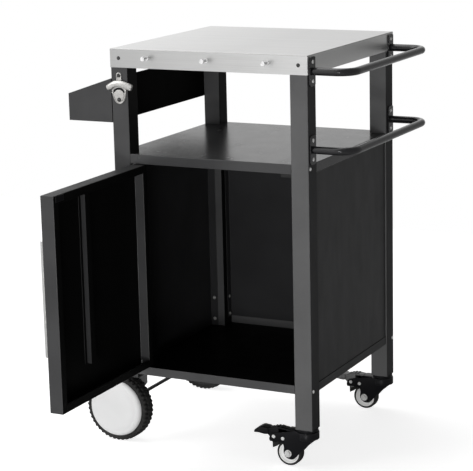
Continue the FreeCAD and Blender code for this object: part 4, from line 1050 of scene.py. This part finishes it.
# %% [markdown]
# ## Bottle opener
# The opener on the front left leg is one casting: a drop-shaped plate with a screw at each
# end, and an arched hood whose wings stand out at both sides. The plate is dished inside a
# raised rim. Under the hood lies a dark mouth, and below it a rounded tongue. It could be
# sculpted, but a few loops give the same soft forms and stay easy to change: the dish is the
# outline drawn inwards at changing depth, and the hood is a profile carried along two smooth
# lines, its top and its foot, slimmer towards the wing tips.

# %% Opener plate and tongue
OPENER_X = 20.5
OPENER_BACK = 1.0
PLATE = [
    (-6.3, 823.0), (-5.0, 827.0), (0.0, 828.5), (5.0, 827.0), (6.3, 823.0), (6.3, 808.0),
    (16.5, 799.0), (17.2, 788.0), (14.6, 774.0), (9.2, 764.0), (0.0, 760.5),
    (-9.2, 764.0), (-15.0, 775.0), (-18.3, 789.0), (-17.5, 799.0), (-6.3, 808.0),
]
# Depth from the leg and distance inwards from the outline.
DISH = [(0.0, 0.0), (1.7, 0.0), (2.2, 0.3), (2.5, 0.9), (2.5, 1.5), (2.3, 1.9), (1.5, 2.4)]
TONGUE = [
    (-13.0, 782.0), (-9.5, 788.5), (-4.5, 791.6), (1.0, 792.2), (6.5, 790.6),
    (11.0, 786.5), (12.5, 780.0), (10.0, 772.0), (5.0, 766.5), (0.0, 765.5),
    (-5.0, 766.5), (-10.0, 773.0),
]


def on_leg(x, z, depth):
    return (OPENER_X + x, OPENER_BACK - depth, z)


plate = layered(softened(PLATE, 4.0), DISH, on_leg)
tongue = slab(softened(TONGUE, 3.0), 1.2, 3.0, 0.9, 4, False, on_leg)
print("opener plate faces", len(plate.faces), "tongue faces", len(tongue.faces))

# %% Opener hood
HOOD_TOP = [
    (-31.0, 799.5), (-20.0, 806.5), (-8.0, 811.5), (8.0, 811.5), (21.0, 808.5), (35.0, 803.0),
]
HOOD_FOOT = [
    (-26.5, 790.5), (-17.0, 792.5), (-10.0, 797.0), (0.0, 798.5), (11.0, 796.5),
    (31.0, 790.0),
]
HOOD_STEPS = 12
HOOD_DEPTH = 7.5
HOOD_START = 2.5
WING_SLIMMER = 0.35
TIP_FROM = 0.9
TIP_LEAST = 0.25
# Share of the height, foot to top, and share of the depth.
HOOD_PROFILE = (
    (-1.0, 0.0), (-1.0, 0.55), (-0.97, 0.8), (-0.88, 0.95), (-0.7, 1.0), (-0.3, 1.0),
    (0.2, 0.96), (0.6, 0.84), (0.85, 0.62), (0.97, 0.35), (1.0, 0.0),
)


def tip_closing(share):
    """1 along the hood, falling on a quarter circle to the wing's tip."""
    past = max(0.0, abs(share) - TIP_FROM) / (1.0 - TIP_FROM)
    return max(TIP_LEAST, math.sqrt(max(0.0, 1.0 - past * past)))


def hood_mesh():
    top = curve_through(HOOD_TOP, HOOD_STEPS)
    foot = curve_through(HOOD_FOOT, HOOD_STEPS)
    rings = []
    for index, (upper, lower) in enumerate(zip(top, foot)):
        share = 2.0 * index / (len(top) - 1) - 1.0
        close = tip_closing(share)
        middle = (upper + lower) * 0.5
        half = (upper - lower) * 0.5 * (0.55 + 0.45 * close)
        wing = 1.0 - WING_SLIMMER * abs(share) ** 3
        depth = HOOD_DEPTH * wing * (0.5 + 0.5 * close)
        ring = []
        for rise, out in HOOD_PROFILE:
            spot = middle + half * rise
            ring.append(on_leg(spot.x, spot.y, HOOD_START + depth * out))
        rings.append(ring)
    return loft(rings)


casting = joined([plate, tongue, hood_mesh()])
piece("cast_bottle_opener", casting, nickel, "frame", ["bottle_opener"])

# %% [markdown]
# ## Painted shade in the opener's mouth and countersink
# The casting is dark where little light gets in: in the mouth that grips a bottle cap, and
# in the countersink round the lower screw. A darker tone in the nickel would have a soft
# border, so that shade is painted on a thin piece of its own in each, with a black coat.

# %% Opener mouth and countersink shade pieces
MOUTH = [
    (-15.0, 784.0), (-13.5, 791.5), (-6.0, 795.5), (0.0, 796.5), (6.0, 795.5),
    (12.0, 791.0), (13.5, 784.0), (7.0, 789.0), (0.0, 791.0), (-7.0, 789.5),
]
SINK_Z = 770.3
SINK_RADIUS = 4.6
SINK_SECTION = [
    (0.0, -0.2), (SINK_RADIUS, -0.2), (SINK_RADIUS, 0.35), (SINK_RADIUS - 0.5, 0.2),
    (0.0, 0.1),
]
mouth = slab(softened(MOUTH, 1.5), 1.2, 1.8, 0.2, 2, False, on_leg)
countersink = turned(SINK_SECTION, on_leg(0.0, SINK_Z, 3.0), (0, -1, 0), 40)
piece("opener_mouth_shade", mouth, caster_coat, "frame")
piece("opener_countersink_shade", countersink, caster_coat, "frame")

# %% [markdown]
# ## Back panel seam
# The back panel ends just above the bottom shelf's rear lip, and the seam between them is a
# dark line of shade. A wider panel would cut into the lip, so a thin folded strip of its own,
# like a hem on the panel's lower edge, stands behind the gap in the panel's coat: a dark sheet
# as painted shade, so that no light comes through the seam.

# %% Back panel seam
HEM = [(41.0, 179.5), (418.7, 179.5), (418.7, 187.0), (41.0, 187.0)]
HEM_Y = 458.8
HEM_THICK = 0.8
hem = slab(softened(HEM, 1.5), HEM_Y, HEM_Y + HEM_THICK, 0.3)
piece("back_panel_seam_shade", hem, panel_shaded_coat, "frame")

# %% [markdown]
# ## Studio floor
# The cart stands on a pale floor that runs out into white. Light strong enough for a white
# floor would burn out the steel, so the floor keeps a pale colour with its soft shadow, and
# is lifted towards white for the camera only. A wide one would show its horizon.

# %% Floor
PALE = grey(0.8)
PALER = grey(0.83)
FLOOR_LIFT = 0.8
FLOOR_REACH = 2.2
FLOOR_DROP = 0.0003


def camera_rays(tree):
    return tree.nodes.new("ShaderNodeLightPath").outputs["Is Camera Ray"]


def floor_material():
    material, tree, shader = start_material("studio_floor")
    mottling, _ = grain(tree, 3.0, 2.0)
    tree.links.new(blend_colours(tree, mottling, PALE, PALER), shader.inputs["Base Color"])
    shader.inputs["Roughness"].default_value = 0.9
    shader.inputs["Specular IOR Level"].default_value = 0.1
    shader.inputs["Emission Color"].default_value = (1.0, 1.0, 1.0, 1.0)
    lift = spread_mask(tree, camera_rays(tree), 0.0, FLOOR_LIFT)
    tree.links.new(lift, shader.inputs["Emission Strength"])
    return material


def floor():
    mesh = bpy.data.meshes.new("studio_floor")
    signs = ((-1, -1), (1, -1), (1, 1), (-1, 1))
    corners = [(x * FLOOR_REACH, y * FLOOR_REACH, 0.0) for x, y in signs]
    mesh.from_pydata(corners, [], [(0, 1, 2, 3)])
    mesh.materials.append(floor_material())
    plane = bpy.data.objects.new("studio_floor", mesh)
    bpy.context.scene.collection.objects.link(plane)
    plane.location.z = -FLOOR_DROP
    return plane


print("floor", [round(side, 2) for side in floor().dimensions])

# %% [markdown]
# ## Lamps
# The light comes mainly from the front: faces turned to the right are nearly black. One big
# lamp near the cart would be softer, but the open door would keep it out of the cabinet, so
# the front lamp stands far away, wide and low. Reflections don't see it or the low lamp,
# because polished steel would burn out. A small sheen lamp gives the coats a soft gloss, and
# two lamps from above shape the top.

# %% Lamps
# Name, place, aim, width, height, power, and whether reflections see it.
LAMPS = (
    ("front_lamp", (0.1, -6.0, 0.42), (0.0, 0.0, 0.4), 3.2, 0.5, 80.0, False),
    ("low_lamp", (1.1, -3.2, 0.16), (0.2, 0.2, 0.1), 0.7, 0.26, 30.0, False),
    ("sheen_lamp", (1.1, -6.0, 0.7), (0.2, 0.0, 0.6), 0.6, 0.5, 42.0, True),
    ("upper_left_lamp", (-2.9, -2.4, 3.0), (0.0, 0.0, 0.4), 2.4, 2.4, 44.0, True),
    ("overhead_lamp", (-1.0, 0.4, 3.4), (0.0, 0.1, 0.6), 2.4, 2.4, 30.0, True),
)


def soft_lamp(name, place, aim, wide, tall, power, mirrored):
    data = bpy.data.lights.new(name, "AREA")
    data.shape = "RECTANGLE"
    data.size = wide
    data.size_y = tall
    data.energy = power
    lamp = bpy.data.objects.new(name, data)
    lamp.location = place
    lamp.rotation_euler = (Vector(aim) - Vector(place)).to_track_quat("-Z", "Y").to_euler()
    lamp.visible_glossy = mirrored
    bpy.context.scene.collection.objects.link(lamp)


for lamp in LAMPS:
    soft_lamp(*lamp)
print("lamps", len(LAMPS), "watts in all", sum(lamp[5] for lamp in LAMPS))

# %% [markdown]
# ## World
# Steel shows the room round it. One white sphere would light all sides alike and wash out
# the dark side. So the world is white to the camera, but to reflections and as a light it
# fades from bright on the left to dim on the right, like a white wall facing a dark one.

# %% World
# Where the fade starts and ends, and the strength on the left and on the right.
MIRRORED = (-0.42, 0.36, 0.92, 0.31)
LIGHT = (-0.6, 0.1, 0.6, 0.02)


def mirror_rays(tree):
    rays = tree.nodes.new("ShaderNodeLightPath").outputs
    return calculated(tree, "MAXIMUM", rays["Is Glossy Ray"], rays["Is Transmission Ray"])


def fading(tree, across, ends):
    result = spread(tree, across, *ends)
    result.node.interpolation_type = "SMOOTHSTEP"
    return result


def studio_world():
    world = bpy.data.worlds.new("studio")
    world.use_nodes = True
    tree = world.node_tree
    tree.nodes.clear()
    output = tree.nodes.new("ShaderNodeOutputWorld")
    background = tree.nodes.new("ShaderNodeBackground")
    background.inputs["Color"].default_value = (1.0, 1.0, 1.0, 1.0)
    across = coordinate(tree, "Generated", "X")
    mirrored = fading(tree, across, MIRRORED)
    light = fading(tree, across, LIGHT)
    room = blend_values(tree, mirror_rays(tree), light, mirrored)
    strength = calculated(tree, "MAXIMUM", room, camera_rays(tree))
    tree.links.new(strength, background.inputs["Strength"])
    tree.links.new(background.outputs["Background"], output.inputs["Surface"])
    return world


bpy.context.scene.world = studio_world()
bpy.context.scene.view_settings.view_transform = "Standard"
print("world", bpy.context.scene.world.name)

# %% [markdown]
# ## Camera
# The camera stands to the right in front, a little above the worktop, and far away, which
# keeps the upright edges nearly parallel. It is tilted by about one degree. Its place could
# be typed in, but azimuth, elevation, roll and distance round the cart's middle are what one
# changes while looking, so the place is worked out from these.

# %% Camera
IMAGE_WIDE = 473.0
IMAGE_TALL = 471.0
SENSOR = 36.0
FOCAL_PIXELS = 1777.477
CENTRE_U = 242.941
CENTRE_V = 235.775
AZIMUTH = math.radians(26.671)
ELEVATION = math.radians(12.649)
ROLL = math.radians(-1.284)
DISTANCE = 3.957644
LOOK_AT = Vector((0.00625, 0.17765, 0.4394))
SHIFT_RIGHT = -0.035548
SHIFT_UP = 0.003323
CLIP_END = 60.0


def place_camera():
    level = math.cos(ELEVATION)
    back = Vector((
        math.sin(AZIMUTH) * level, -math.cos(AZIMUTH) * level, math.sin(ELEVATION),
    ))
    right = (-back).cross(Vector((0.0, 0.0, 1.0))).normalized()
    up = right.cross(-back)
    place = LOOK_AT + right * SHIFT_RIGHT + up * SHIFT_UP + back * DISTANCE
    tilted_right = right * math.cos(ROLL) + up * math.sin(ROLL)
    tilted_up = up * math.cos(ROLL) - right * math.sin(ROLL)
    data = bpy.data.cameras.new("camera")
    data.sensor_width = SENSOR
    data.lens = FOCAL_PIXELS * SENSOR / IMAGE_WIDE
    data.shift_x = -(CENTRE_U - IMAGE_WIDE / 2) / IMAGE_WIDE
    data.shift_y = (CENTRE_V - IMAGE_TALL / 2) / IMAGE_WIDE
    data.clip_end = CLIP_END
    camera = bpy.data.objects.new("camera", data)
    columns = (*tilted_right, 0.0), (*tilted_up, 0.0), (*back, 0.0), (*place, 1.0)
    camera.matrix_world = Matrix(columns).transposed()
    bpy.context.scene.collection.objects.link(camera)
    return camera


camera = place_camera()
bpy.context.scene.camera = camera
print("camera at", [round(value, 3) for value in camera.matrix_world.translation])
